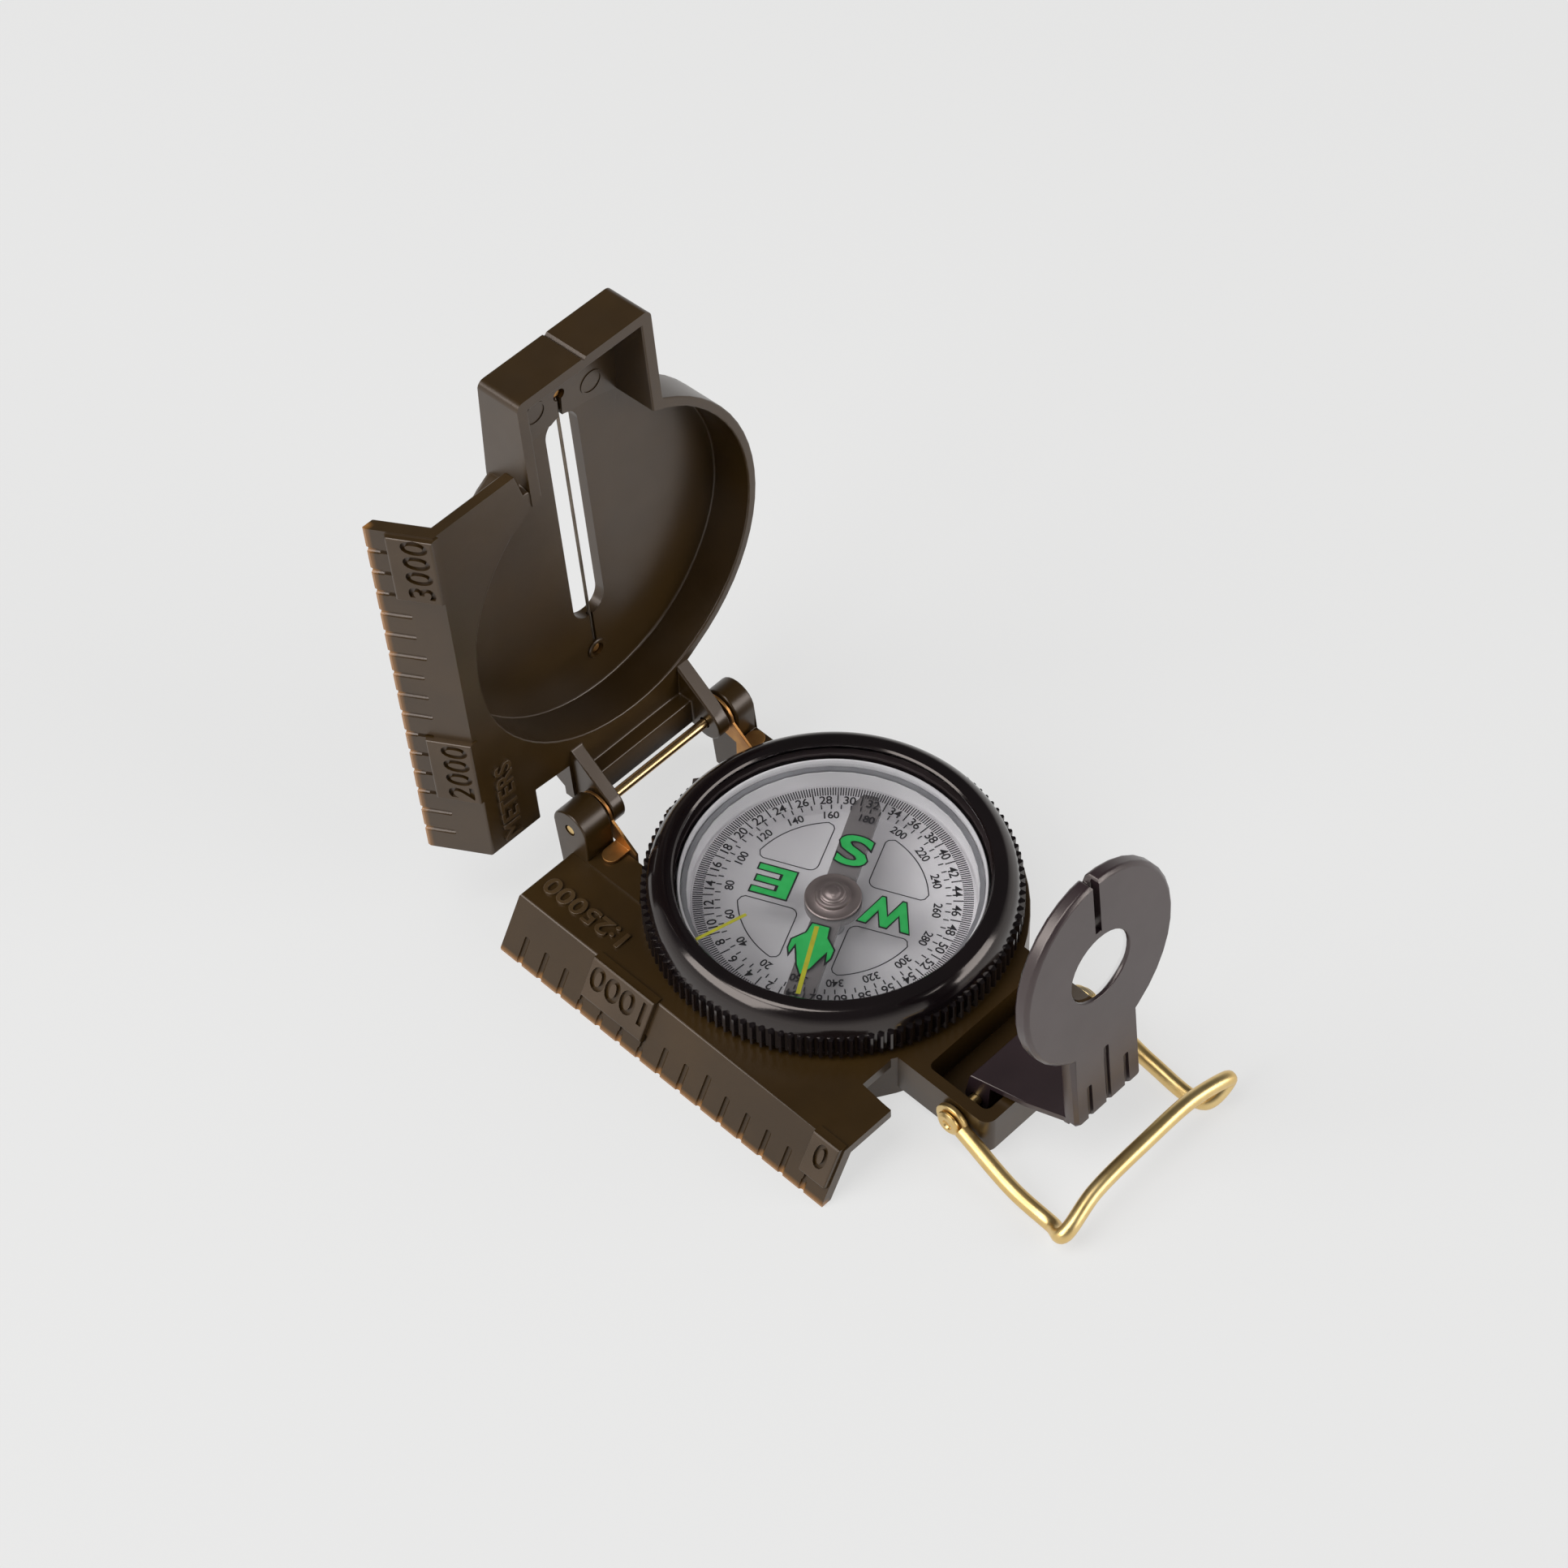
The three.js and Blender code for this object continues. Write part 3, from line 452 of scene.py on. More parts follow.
white_cup = moulded_plastic(
    "white_capsule_plastic", linear(226, 224, 227), linear(238, 236, 239), smooth=0.4, rough=0.55
)
capsule = rings("capsule_shell", [
    (21.8, 2.15), (22, 2.35), (22, 10.3), (22.8, 10.3), (22.8, 10.6), (22, 10.9), (22, 14.28),
    (21.88, 14.4), (21.62, 14.4), (21.62, 12.78), (20.65, 12.78), (20.65, 3.9), (20.5, 3.45),
    (20.05, 3.25)
], 144, False)
capsule.data.materials.append(white_cup)
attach(capsule, "case")
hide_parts("capsule_cup")


def dress(node, material):
    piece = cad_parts[node]
    piece.data.materials.clear()
    piece.data.materials.append(material)
    return piece


rubber = moulded_plastic(
    "grey_rubber", linear(120, 120, 124), linear(140, 140, 144), smooth=0.7, rough=0.85, shine=0.3
)
dress("capsule_gasket", rubber)


def metal(name, dark, light, smooth, rough, depth=0.01):
    material, nodes, links, shader = finish(name)
    shader.inputs["Metallic"].default_value = 1
    tarnish = ramp(nodes, links, cloud(nodes, links, 220, 5), 0.3, 0.7, (dark, light))
    links.new(tarnish, shader.inputs["Base Color"])
    handled = spread(nodes, links, cloud(nodes, links, 500, 5), smooth, rough)
    links.new(handled, shader.inputs["Roughness"])
    pitted(nodes, links, shader, cloud(nodes, links, 1800, 3), depth * mm, 0.2)
    return material


steel = metal("pivot_steel", linear(150, 150, 154), linear(196, 196, 200), smooth=0.2, rough=0.32)
dress("pivot_post", steel)

# Floating card: a clear disc with the print on its upper face, the bar magnet glued below it and a
# turned cap with the jewel on top. The print is black, with the four points in green.
magnet_metal = moulded_plastic(
    "magnet_alloy", linear(70, 61, 60), linear(86, 77, 76), smooth=0.38, rough=0.5
)
dress("magnet_bar", magnet_metal)


def mix_shaders(nodes, links, share, first, second):
    mix = nodes.new("ShaderNodeMixShader")
    if isinstance(share, float):
        mix.inputs["Fac"].default_value = share
    else:
        links.new(share, mix.inputs["Fac"])
    links.new(first, mix.inputs[1])
    links.new(second, mix.inputs[2])
    return mix.outputs["Shader"]


def clear_sheet(name, tint, roughness, rim_ior, haze=None):
    smear = 0.06
    material, nodes, links, shader = finish(name)
    nodes.remove(shader)
    see = nodes.new("ShaderNodeBsdfTransparent")
    see.inputs["Color"].default_value = tint
    body = see.outputs["BSDF"]
    if haze:
        milk = nodes.new("ShaderNodeBsdfDiffuse")
        milk.inputs["Color"].default_value = linear(236, 234, 237)
        body = mix_shaders(nodes, links, haze, body, milk.outputs["BSDF"])
    gloss = nodes.new("ShaderNodeBsdfGlossy")
    handled = spread(nodes, links, cloud(nodes, links, 300), roughness, roughness + smear)
    links.new(handled, gloss.inputs["Roughness"])
    rim = nodes.new("ShaderNodeFresnel")
    rim.inputs["IOR"].default_value = rim_ior
    side = nodes.new("ShaderNodeNewGeometry")
    outer = calc(nodes, links, "SUBTRACT", 1, side.outputs["Backfacing"])
    front = calc(nodes, links, "MULTIPLY", outer, rim.outputs["Fac"])
    sheet = mix_shaders(nodes, links, front, body, gloss.outputs["BSDF"])
    links.new(sheet, nodes["Material Output"].inputs["Surface"])
    return material


card_film = clear_sheet("card_film", (1, 1, 1, 1), roughness=0.12, rim_ior=1.15, haze=0.08)
card = rings("card_disc", [
    (1.3, 9.8), (20.25, 9.8), (20.3, 9.85), (20.3, 10.15), (20.25, 10.2), (1.3, 10.2)
], 160, True)
card.data.materials.append(card_film)
card.visible_shadow = False
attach(card, "card")
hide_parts("dial_card")

print_level = 10.215
print_thick = 0.02 * mm
to_card = Matrix.Rotation(math.radians(114.6), 4, "Z")


def ink(name, colour, patch, rough):
    material, nodes, links, shader = finish(name)
    worn = ramp(nodes, links, cloud(nodes, links, 700), 0.3, 0.75, (colour, patch))
    links.new(worn, shader.inputs["Base Color"])
    shader.inputs["Roughness"].default_value = rough
    return material


black_ink = ink("black_print", linear(26, 24, 28), linear(44, 42, 46), rough=0.5)
green_ink = ink("green_lume", linear(44, 172, 84), linear(62, 190, 102), rough=0.45)


def bar(width, length, thick, middle=(0, 0, 0), turn=0):
    bpy.ops.object.select_all(action="DESELECT")
    bpy.ops.mesh.primitive_cube_add(size=1)
    piece = bpy.context.object
    piece.scale = (width, length, thick)
    bpy.ops.object.transform_apply(location=False, rotation=False, scale=True)
    return placed(piece, Matrix.Rotation(turn, 4, "Z") @ Matrix.Translation(middle))


def marks(name, count, inner, outer, width, start=0.0):
    middle = (0, (inner + outer) / 2 * mm, print_level * mm)
    tick = bar(width * mm, (outer - inner) * mm, print_thick, middle)
    made = []
    step = 2 * math.pi / count
    for i in range(count):
        copy = tick.copy()
        copy.data = tick.data.copy()
        bpy.context.scene.collection.objects.link(copy)
        copy.matrix_world = to_card @ Matrix.Rotation(start - i * step, 4, "Z")
        made.append(copy)
    bpy.data.objects.remove(tick)
    whole = take(join_all(name, made))
    bpy.ops.object.transform_apply(location=True, rotation=True, scale=True)
    return whole


def number_ring(name, numbers, whole, radius, height):
    made = []
    outward = Matrix.Translation((0, radius * mm, print_level * mm))
    for number in numbers:
        turn = Matrix.Rotation(-2 * math.pi * number / whole, 4, "Z")
        figure = lettering(
            "figure", str(number), height * mm, print_thick, weight=0.03 * mm, gap=0.95
        )
        made.append(placed(figure, to_card @ turn @ outward))
    return join_all(name, made)


prints = [
    marks("mil_ticks", 320, 18.5, 19.95, 0.17),
    marks("hundred_ticks", 32, 17.0, 18.5, 0.2, -math.pi / 32),
    marks("degree_ticks", 72, 16.0, 16.8, 0.19),
    number_ring("mil_figures", range(2, 66, 2), 64, 17.65, 1.45),
    number_ring("degree_figures", range(20, 361, 20), 360, 14.9, 1.3),
]


def poly_curve(points, closed):
    bpy.ops.object.select_all(action="DESELECT")
    bpy.ops.curve.primitive_bezier_curve_add()
    curve = bpy.context.object
    curve.data.splines.clear()
    spline = curve.data.splines.new("POLY")
    spline.points.add(len(points) - 1)
    for point, place in zip(spline.points, points):
        point.co = [c * mm for c in place] + [1]
    spline.use_cyclic_u = closed
    return curve.data


def sector(quarter):
    inner_x, inner_y, outer, corner, line = 3.85, 3.6, 13.55, 1.25, 0.17
    arc_trim, end_inset, end_drop = 0.09, 0.5, 0.55
    bend_in, bend_on, bend_back = 0.32, 0.38, 0.15
    arc_steps, corner_steps = 24, 8
    swap_xy = Matrix(((0, 1, 0, 0), (1, 0, 0, 0), (0, 0, 1, 0), (0, 0, 0, 1)))
    points = []
    first = math.asin(inner_y / outer) + arc_trim
    last = math.acos(inner_x / outer) - arc_trim
    for i in range(arc_steps + 1):
        a = first + (last - first) * i / arc_steps
        points.append((outer * math.cos(a), outer * math.sin(a)))
    top = math.sqrt((outer - end_inset) ** 2 - inner_x ** 2) - end_drop
    side = math.sqrt((outer - end_inset) ** 2 - inner_y ** 2) - end_drop
    points += [(inner_x + bend_in, top + bend_on), (inner_x, top - bend_back)]
    for i in range(corner_steps + 1):
        a = math.pi + math.pi / 2 * i / corner_steps
        x = inner_x + corner + corner * math.cos(a)
        y = inner_y + corner + corner * math.sin(a)
        points.append((x, y))
    points += [(side - bend_back, inner_y), (side + bend_on, inner_y + bend_in)]
    curve = poly_curve([(x, y, print_level) for x, y in points], True)
    curve.bevel_depth = line / 2 * mm
    curve.bevel_resolution = 0
    bpy.ops.object.convert(target="MESH")
    turn = to_card @ Matrix.Rotation(quarter * math.pi / 2, 4, "Z")
    piece = placed(bpy.context.object, turn @ swap_xy if quarter % 2 else turn)
    bpy.ops.object.mode_set(mode="EDIT")
    bpy.ops.mesh.select_all(action="SELECT")
    bpy.ops.transform.resize(value=(1, 1, 0.1), center_override=(0, 0, print_level * mm))
    bpy.ops.mesh.normals_make_consistent(inside=False)
    bpy.ops.object.mode_set(mode="OBJECT")
    return piece


prints.append(join_all("sector_lines", [sector(quarter) for quarter in range(4)]))
for printed in prints:
    printed.data.materials.append(black_ink)
    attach(printed, "card")

point_layers = (("_outline", 0.26, 0, black_ink), ("", 0, 0.03, green_ink))
for name, letter, x, y, length, height, bold in (
    ("point_e", "E", 9.0, 0.0, 5.5, 5.0, 0.14),
    ("point_s", "S", 0.0, -8.9, 4.8, 5.4, 0.14),
    ("point_w", "W", -8.35, 0.1, 7.6, 5.0, 0.26),
):
    for suffix, grow, lift, colour in point_layers:
        piece = lettering(
            name + suffix, letter, (height + 2 * grow) * mm, print_thick,
            (length + 2 * grow) * mm, (bold + grow) * mm
        )
        middle = Matrix.Translation((x * mm, y * mm, (print_level + lift) * mm))
        placed(piece, to_card @ middle)
        piece.data.materials.append(colour)
        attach(piece, "card")

arrow_half = [
    (0, 14.1), (1.0, 12.6), (1.75, 10.6), (2.35, 9.2), (2.75, 11.0), (3.1, 10.2), (3.1, 8.7),
    (1.55, 7.0), (1.25, 5.2)
]
arrow = arrow_half + [(-x, y) for x, y in reversed(arrow_half[1:])]
for suffix, grow, lift, colour in point_layers:
    curve = poly_curve([(x, y, 0) for x, y in arrow], True)
    curve.dimensions = "2D"
    curve.fill_mode = "BOTH"
    curve.extrude = print_thick / 2
    curve.offset = grow * mm
    bpy.ops.object.convert(target="MESH")
    piece = named(bpy.context.object, "point_n" + suffix)
    placed(piece, to_card @ Matrix.Translation((0, 0, (print_level + lift) * mm)))
    weld(piece)
    piece.data.materials.append(colour)
    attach(piece, "card")

cap_metal = metal(
    "cap_alloy", linear(150, 138, 136), linear(166, 153, 151), smooth=0.48, rough=0.58, depth=0.003
)
cap = rings("hub_cap", [
    (4.0, 10.26), (4.1, 10.36), (4.1, 10.5), (3.95, 10.62), (3.6, 10.6), (2.75, 10.62), (2.6, 10.7),
    (2.55, 10.95), (2.45, 11.15), (2.2, 11.25), (1.95, 11.22), (1.85, 11.3), (1.8, 11.5), (1.6, 11.66),
    (1.25, 11.66), (1.1, 11.74), (0.95, 11.9), (0.7, 11.98), (0.3, 12.0)
], 96, False)
cap.data.materials.append(cap_metal)
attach(cap, "card")
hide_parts("jewel_cap")

# Capsule lid: a clear disc sealed over the card. Between the print and the crystal it shows only as
# a faint second reflection.
lid_clear = clear_sheet("capsule_lid_clear", linear(252, 252, 252), roughness=0.04, rim_ior=1.2)
dress("capsule_lid", lid_clear).visible_shadow = False

# Bezel: a glossy black ring with a knurled grip that turns on the capsule's bead. It holds the clear
# crystal, which has two luminous lines 45 degrees apart, on a thin ring pressed in from below.
gloss_black = moulded_plastic(
    "bezel_black", linear(14, 10, 12), linear(20, 15, 17), smooth=0.1, rough=0.17, shine=0.7
)
knurl_steps = 480
knurl_root = 26.55
knurl_tip = 27.2
knurl_low = 9.53
knurl_high = 13.49
bore_side = 26
bezel = rings("bezel_grip", [
    (22.3, 9.35), (22.45, 9.2), (26.3, 9.2), (26.5, 9.35), (26.55, 9.5), (26.55, 9.56), (26.55, 13.46),
    (26.55, 13.52), (26.5, 13.75), (26.45, 14.0), (26.3, 14.7), (26.1, 15.3), (25.85, 15.75),
    (25.4, 16.3), (24.8, 16.85), (24.3, 17.08), (23.5, 17.1), (22.75, 17.05), (22.5, 16.8),
    (22.5, 16.57), (23.42, 16.57), (23.42, 14.48), (22.3, 14.48), (22.3, 11.2), (23.1, 11.2),
    (23.1, 10.0), (22.3, 10.0)
], knurl_steps, True)


def on_tooth(place):
    x, y, z = place
    step = round(math.atan2(y, x) / (2 * math.pi) * knurl_steps) % knurl_steps
    in_grip = knurl_low < z / mm < knurl_high and math.hypot(x, y) > bore_side * mm
    return in_grip and step % 4 in (1, 2)


take(bezel)
select_only(bezel, vertices=[on_tooth(vertex.co) for vertex in bezel.data.vertices])
bpy.ops.object.mode_set(mode="EDIT")
bpy.ops.mesh.select_mode(type="VERT")
bpy.ops.transform.resize(
    value=(knurl_tip / knurl_root, knurl_tip / knurl_root, 1), center_override=(0, 0, 11 * mm)
)
bpy.ops.object.mode_set(mode="OBJECT")
bpy.ops.object.shade_smooth_by_angle(angle=turned_smooth)
bezel.data.materials.append(gloss_black)
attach(bezel, "bezel")
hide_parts("bezel_ring")
ring_black = moulded_plastic(
    "crystal_ring_black", linear(40, 33, 34), linear(54, 46, 47), smooth=0.25, rough=0.35, shine=0.7
)
dress("crystal_ring", ring_black)

crystal_clear = clear_sheet("crystal_clear", linear(252, 252, 252), roughness=0.03, rim_ior=1.3)
crystal = rings("crystal_disc", [
    (23.2, 15.2), (23.3, 15.3), (23.3, 16.3), (23.15, 16.45)
], 160, False)
crystal.data.materials.append(crystal_clear)
crystal.visible_shadow = False
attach(crystal, "bezel")
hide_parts("bezel_crystal")
lume = ink("yellow_lume", linear(168, 166, 40), linear(150, 146, 44), rough=0.5)
lume_level = 16.47
lume_thick = 0.04 * mm
for name, turn, near, far, width in (
    ("lume_line_long", 211.0, 9.9, 21.7, 0.65), ("lume_line_short", 165.6, 14.2, 22.4, 0.5)
):
    middle = (0, (near + far) / 2 * mm, lume_level * mm)
    line = bar(width * mm, (far - near) * mm, lume_thick, middle, math.radians(turn - 90))
    named(line, name)
    line.data.materials.append(lume)
    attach(line, "bezel")

# Hinge: a brass pin through both ears, two sprung brass clips that hold the cover up, and the small
# dark leaf that clicks against the grip of the bezel. The axle and rivets at the front are brass too.
brass = metal(
    "polished_brass", linear(224, 190, 124), linear(238, 210, 150), smooth=0.3, rough=0.4, depth=0.0012
)
pin_brass = metal(
    "pin_brass", linear(214, 174, 118), linear(230, 194, 140), smooth=0.22, rough=0.32, depth=0.004
)
# Darker brass for the hinge clips and the wire pins: painted shade, where the clips sit in shadow
# between the ears.
brass_painted_shade = metal(
    "clip_brass_painted_shade", linear(158, 108, 64), linear(206, 156, 92), smooth=0.36, rough=0.5, depth=0.006
)
end_facing = 0.8
for node, name, edge, finish_of in (
    ("hinge_pin", "hinge_rod", 0.08, pin_brass),
    ("hinge_clip_right", "clip_right", 0.06, brass_painted_shade),
    ("hinge_clip_left", "clip_left", 0.06, brass_painted_shade),
    ("click_spring", "click_leaf", 0.05, magnet_metal),
    ("bracket_axle", "axle_rod", 0.1, brass),
    ("loop_rivet_right", "rivet_right", 0.05, brass),
    ("loop_rivet_left", "rivet_left", 0.05, brass),
):
    piece = moulded_copy(node, name, edge * mm)
    piece.data.materials.append(finish_of)
    if node == "hinge_pin":
        piece.data.materials.append(brass)
        for face in piece.data.polygons:
            face.material_index = 1 if abs(face.normal.x) > end_facing else 0
    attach(piece, "case")
    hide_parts(node)

# Cover: the second olive moulding, a shallow round dish with a box end, the sighting slot and the
# other half of the straight edge. The sighting wire is stretched along the slot between two pins.
hinge_at = Vector((0, hinge_y, 13.6)) * mm
cover_turn = math.radians(85.25)
cover_place = (
    Matrix.Translation(hinge_at)
    @ Matrix.Rotation(cover_turn, 4, "X")
    @ Matrix.Translation((0, 0, -hinge_at.z))
)
# The cover's thin straight edge gets the same painted amber glow.
cover_glow_edge = (cover_place @ Vector((0, 0, 0)), cover_place.to_3x3() @ Vector((0, 0, 1)), glow_reach)
cover_olive = moulded_plastic(
    "cover_plastic", olive_dark, olive_light, smooth=0.25, rough=0.36, shine=0.75, painted_glow=cover_glow_edge
)
dish_side = cover_place @ (well_side + Vector((0, hinge_y * mm, 0)))
cover_shell = moulded_copy(
    "cover", "cover_shell", case_edge, tight=lambda place: (place - dish_side).length < tight_reach
)
cover_shell.data.materials.append(cover_olive)
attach(cover_shell, "lid")
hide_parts("cover")
lift_blocks(cover_shell, cover_place)
cut_marks(cover_shell, 0, 1, ((12, 24), (52, 64)), cover_place)
for words, middle in (("2000", 18.2), ("3000", 58.3)):
    stamp = lettering(
        "stamp", words, stamp_height, stamp_depth, 10.8 * mm, weight=0.1 * mm, gap=1.08
    )
    settle(stamp, reading, -edge_up, on_edge(middle, stamp_level, block_face), cover_place)
    sink(cover_shell, stamp)
matt_blocks(cover_shell, matt_block_painted_sheen, cover_place)
# METERS uses the same lighter colour, a painted highlight on the raised letters.
unit = lettering("unit_word", "METERS", 3.2 * mm, length=15.0 * mm, **raised)
settle(unit, reading, -right, Vector((deck_x, 8.9, deck_level)) * mm, cover_place)
unit.data.materials.append(letter_painted_highlight)
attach(unit, "lid")
anchor_y = 14.6
boss = rings("anchor_boss", [
    (1.05, 1.7), (1.6, 1.7), (1.6, 2.05), (1.45, 2.2), (1.05, 2.2)
], 48, True)
settle(boss, right, reading, Vector((0, anchor_y, 0)) * mm, cover_place)
boss.data.materials.append(cover_olive)
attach(boss, "lid")
slope_start = 58
slope_foot = 1.8
end_lean = math.atan2(1.4, 15.4)
up_slope = Vector((0, math.cos(end_lean), math.sin(end_lean)))
ejector = []
for x, y in ((5.9, 62.7), (-4.6, 64.5)):
    ring = rings("ejector", [(1.7, -0.1), (1.95, -0.1), (1.95, 0.12), (1.7, 0.12)], 48, True)
    middle = Vector((x, y, slope_foot + (y - slope_start) * math.tan(end_lean))) * mm
    ejector.append(settle(ring, right, up_slope, middle, cover_place))
ejector = join_all("ejector_rings", ejector)
ejector.data.materials.append(cover_olive)
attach(ejector, "lid")
wire_steel = metal(
    "sighting_wire_steel", linear(120, 108, 96), linear(160, 148, 134), smooth=0.3, rough=0.4
)
for node, name, edge, finish_of in (
    ("sighting_wire", "wire_run", 0.0, wire_steel),
    ("wire_anchor_near", "anchor_near", 0.06, brass_painted_shade),
    ("wire_anchor_far", "anchor_far", 0.06, brass_painted_shade),
):
    piece = moulded_copy(node, name, edge * mm)
    piece.data.materials.append(finish_of)
    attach(piece, "lid")
    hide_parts(node)

# Lens bracket: a black moulding with the oval eye plate on two arms, swinging on the axle. The small
# magnifier snaps into a groove round the hole.
grey_black = moulded_plastic(
    "bracket_plastic", linear(38, 27, 31), linear(46, 34, 38), smooth=0.26, rough=0.38, shine=1.0
)
plate_lean = math.radians(6)
plate_up = Vector((0, math.sin(plate_lean), math.cos(plate_lean)))
plate_out = right.cross(plate_up)
lens_at = Vector((0, -47.915, 39.855)) * mm
arm_foot = Vector((-6.06, -51.56, 17.1)) * mm
foot_reach = 1 * mm
bracket = moulded_copy(
    "lens_bracket", "eye_bracket", edge=0.2 * mm, room=3.0,
    tight=lambda place: (place - arm_foot).length < foot_reach
)
seat_small, seat_wide = (6.0, 0.65), (9.74, -1.55)
seat = rings("seat", [seat_small, seat_wide], 192, False)
sink(bracket, settle(seat, right, plate_up, lens_at))
grip_pitch = 3.7
grip_width = 1.0
grip_thick = 1.4
grip_foot = 3
grip_out = 1.25
plate_drop = 33
for side, reach in ((-1, 11.5), (0, 16.6), (1, 11.5)):
    grip = bar(grip_width * mm, (reach - grip_foot) * mm, grip_thick * mm)
    soften(grip, round_end)
    up = (reach + grip_foot) / 2 - plate_drop
    middle = lens_at + (right * side * grip_pitch + plate_up * up + plate_out * grip_out) * mm
    sink(bracket, settle(grip, right, plate_up, middle))
seat_slope = math.cos(math.atan2(seat_small[1] - seat_wide[1], seat_wide[0] - seat_small[0]))
slope_match = 0.02
soft_faces(
    bracket, flat=lambda face: abs(abs(face.normal.dot(plate_out)) - seat_slope) < slope_match
)
bracket.data.materials.append(grey_black)
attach(bracket, "eyepiece")
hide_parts("lens_bracket")
lens_clear = clear_sheet("magnifier_clear", linear(253, 253, 253), roughness=0.02, rim_ior=1.3)
lens = rings("eye_lens", [
    (0.4, -0.1), (2, -0.07), (4, 0.1), (5.4, 0.28), (6.35, 0.42), (6.02, 0.62), (5.2, 0.72),
    (3.5, 0.83), (1.8, 0.89), (0.4, 0.9)
], 96, False)
settle(lens, right, plate_up, lens_at)
lens.data.materials.append(lens_clear)
lens.visible_shadow = False
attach(lens, "eyepiece")
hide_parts("magnifier_lens")

# Thumb loop: one length of brass rod, bent and left with a high shine, each end beaten flat into an
# eyelet that turns on the axle beside the tongue.
axle_at = Vector((0, -35.8, 5.4))
loop_half, loop_back, loop_rise = 15, 22.24, 4
loop_bends = [
    (-1, 0.57, -0.75), (-1, 0.89, -1), (-1.08, 1.02, -0.52), (-0.63, 1, 0.12), (0.07, 1, 0.4),
    (0.73, 1, 0.33), (1.2, 1.025, -0.2), (0.96, 0.98, -0.9), (0.93, 0.55, -0.8),
]
end_x, end_y = 14.1, -2.12
loop_points = [axle_at + Vector((-end_x, end_y, 0))]
for side, back, rise in loop_bends:
    loop_points.append(axle_at + Vector((loop_half * side, -loop_back * back, loop_rise * rise)))
loop_points.append(axle_at + Vector((end_x, end_y, 0)))
before = 2 * loop_points[0] - loop_points[1]
after = 2 * loop_points[-1] - loop_points[-2]
knots = [before] + loop_points + [after]
span_steps = 12
path = []
for p0, p1, p2, p3 in zip(knots, knots[1:], knots[2:], knots[3:]):
    t1 = (p1 - p0).length ** 0.5
    t2 = t1 + (p2 - p1).length ** 0.5
    t3 = t2 + (p3 - p2).length ** 0.5
    for i in range(span_steps):
        t = t1 + (t2 - t1) * i / span_steps
        a1 = p0.lerp(p1, t / t1)
        a2 = p1.lerp(p2, (t - t1) / (t2 - t1))
        a3 = p2.lerp(p3, (t - t2) / (t3 - t2))
        b1 = a1.lerp(a2, t / t2)
        b2 = a2.lerp(a3, (t - t1) / (t3 - t1))
        path.append(b1.lerp(b2, (t - t1) / (t2 - t1)))
path.append(loop_points[-1])
rod_radius = 1.19 * mm
rod = poly_curve(path, False)
rod.dimensions = "3D"
rod.bevel_depth = rod_radius
rod.bevel_resolution = 6
rod.use_fill_caps = True
bpy.ops.object.convert(target="MESH")
loop = weld(named(bpy.context.object, "loop_rod"))
eyelet_x = 13.7
for side in (-1, 1):
    for radius, thick, operation in ((2.8, 0.8, "UNION"), (1.22, 4, "DIFFERENCE")):
        bpy.ops.object.select_all(action="DESELECT")
        bpy.ops.mesh.primitive_cylinder_add(
            vertices=64, radius=radius * mm, depth=thick * mm,
            location=(axle_at + Vector((side * eyelet_x, 0, 0))) * mm, rotation=(0, math.pi / 2, 0),
        )
        eyelet = bpy.context.object
        bpy.ops.object.transform_apply(location=True, rotation=True, scale=True)
        if operation == "UNION":
            soften(eyelet, 0.18 * mm, 40)
        combine(loop, eyelet, operation)
tongue_space = bar(26.6 * mm, 11.5 * mm, 12 * mm, (0, -38.75 * mm, 4 * mm))
combine(loop, tongue_space, "DIFFERENCE")
bpy.ops.object.shade_smooth_by_angle(angle=math.radians(50))
loop.data.materials.clear()
loop.data.materials.append(brass)
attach(loop, "loop")
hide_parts("thumb_loop")

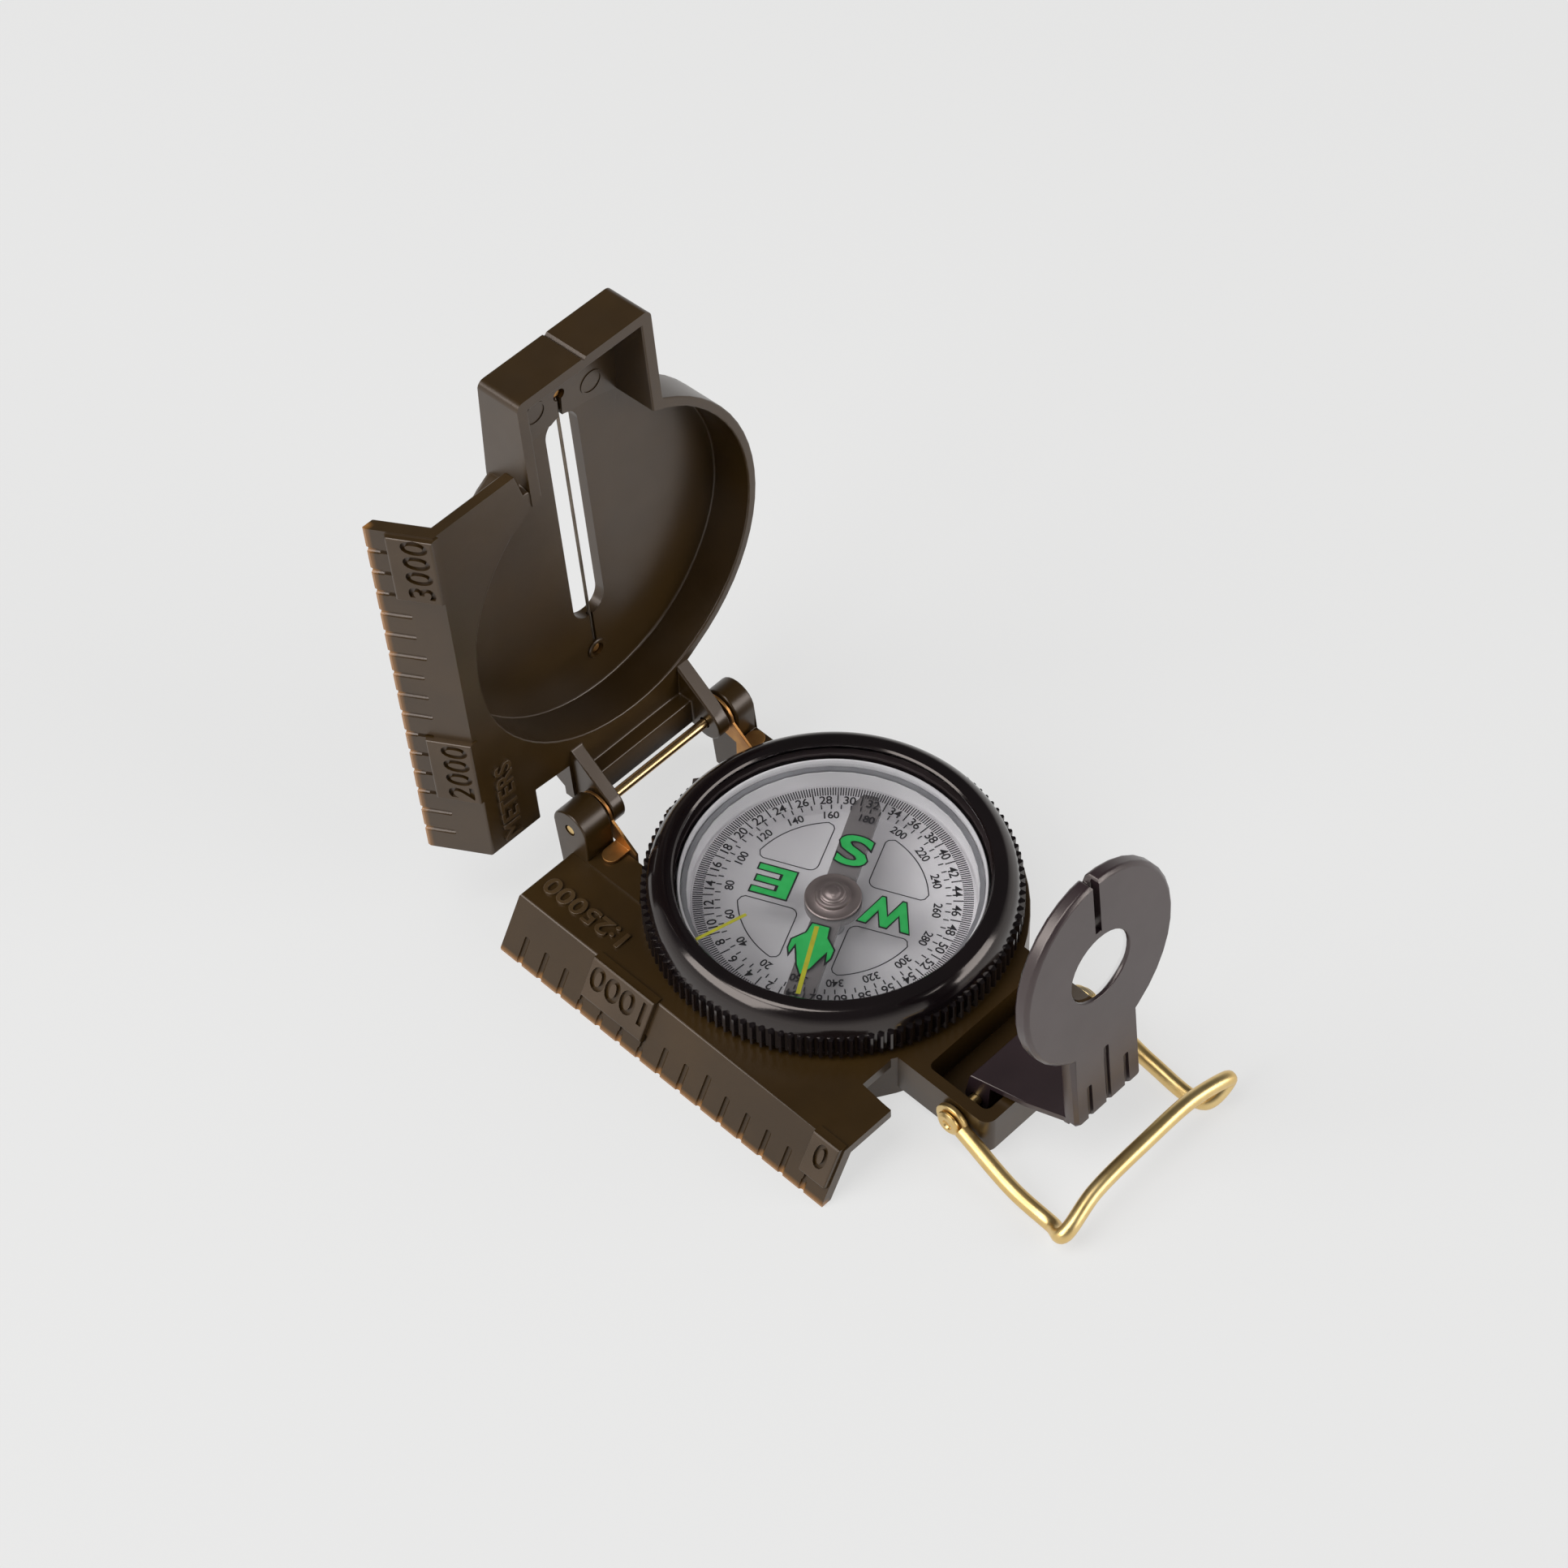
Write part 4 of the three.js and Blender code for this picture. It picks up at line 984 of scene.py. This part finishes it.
# Floor, light and camera: a pale sheet that also lights itself a little, three soft boxes and a sky
# that is brighter toward the horizon. The camera is the one fitted to the photograph.
floor_drop = 0.02 * mm
bpy.ops.object.select_all(action="DESELECT")
bpy.ops.mesh.primitive_plane_add(size=6, location=(0, 0, -floor_drop))
floor = bpy.context.object
floor.name = "floor"
floor_paint, nodes, links, shader = finish("floor_paint")
shader.inputs["Base Color"].default_value = (0.8, 0.8, 0.798, 1)
shader.inputs["Roughness"].default_value = 0.9
shader.inputs["Specular IOR Level"].default_value = 0.1
ray = nodes.new("ShaderNodeLightPath")
pale = nodes.new("ShaderNodeEmission")
pale.inputs["Color"].default_value = (0.812, 0.812, 0.808, 1)
pale_share = 0.78
seen = calc(nodes, links, "ADD", ray.outputs["Is Camera Ray"], ray.outputs["Is Glossy Ray"])
seen_all = calc(nodes, links, "ADD", seen, ray.outputs["Is Transmission Ray"], clamp=True)
part_lit = calc(nodes, links, "MULTIPLY", seen_all, pale_share)
both = mix_shaders(nodes, links, part_lit, shader.outputs["BSDF"], pale.outputs["Emission"])
links.new(both, nodes["Material Output"].inputs["Surface"])
floor.data.materials.append(floor_paint)

world = bpy.data.worlds.new("studio")
bpy.context.scene.world = world
world.use_nodes = True
nodes = world.node_tree.nodes
links = world.node_tree.links
horizon = (0.7, 0.7, 0.7, 1)
zenith = (0.08, 0.08, 0.08, 1)
look = nodes.new("ShaderNodeTexCoord")
split = nodes.new("ShaderNodeSeparateXYZ")
links.new(look.outputs["Generated"], split.inputs["Vector"])
sky = ramp(nodes, links, split.outputs["Z"], 0.12, 0.5, (horizon, zenith))
links.new(sky, nodes["Background"].inputs["Color"])


def softbox(name, place, width, height, power):
    bpy.ops.object.select_all(action="DESELECT")
    bpy.ops.object.light_add(type="AREA", location=place)
    lamp = bpy.context.object
    lamp.name = name
    lamp.data.shape = "RECTANGLE"
    lamp.data.size = width
    lamp.data.size_y = height
    lamp.data.energy = power
    lamp.rotation_euler = (-Vector(place)).to_track_quat("-Z", "Y").to_euler()


softbox("top_box", (-0.35, 0.1, 1.1), 0.5, 0.5, 4.0)
softbox("left_box", (-1.1, 0.4, 0.95), 1.2, 0.9, 16)
softbox("front_box", (0.6, -1.1, 0.6), 1.0, 0.7, 9)

focal_pixels = 5470.1
photo_pixels = 1932
bpy.ops.object.select_all(action="DESELECT")
bpy.ops.object.camera_add(
    location=(-0.269754, -0.264882, 0.512785), rotation=(0.670615, 0.018222, -0.800351)
)
camera = bpy.context.object
camera.data.sensor_width = 36
camera.data.lens = camera.data.sensor_width * focal_pixels / photo_pixels
camera.data.clip_start = 0.01
camera.data.clip_end = 20
bpy.context.scene.camera = camera
bpy.context.scene.view_settings.view_transform = "Standard"
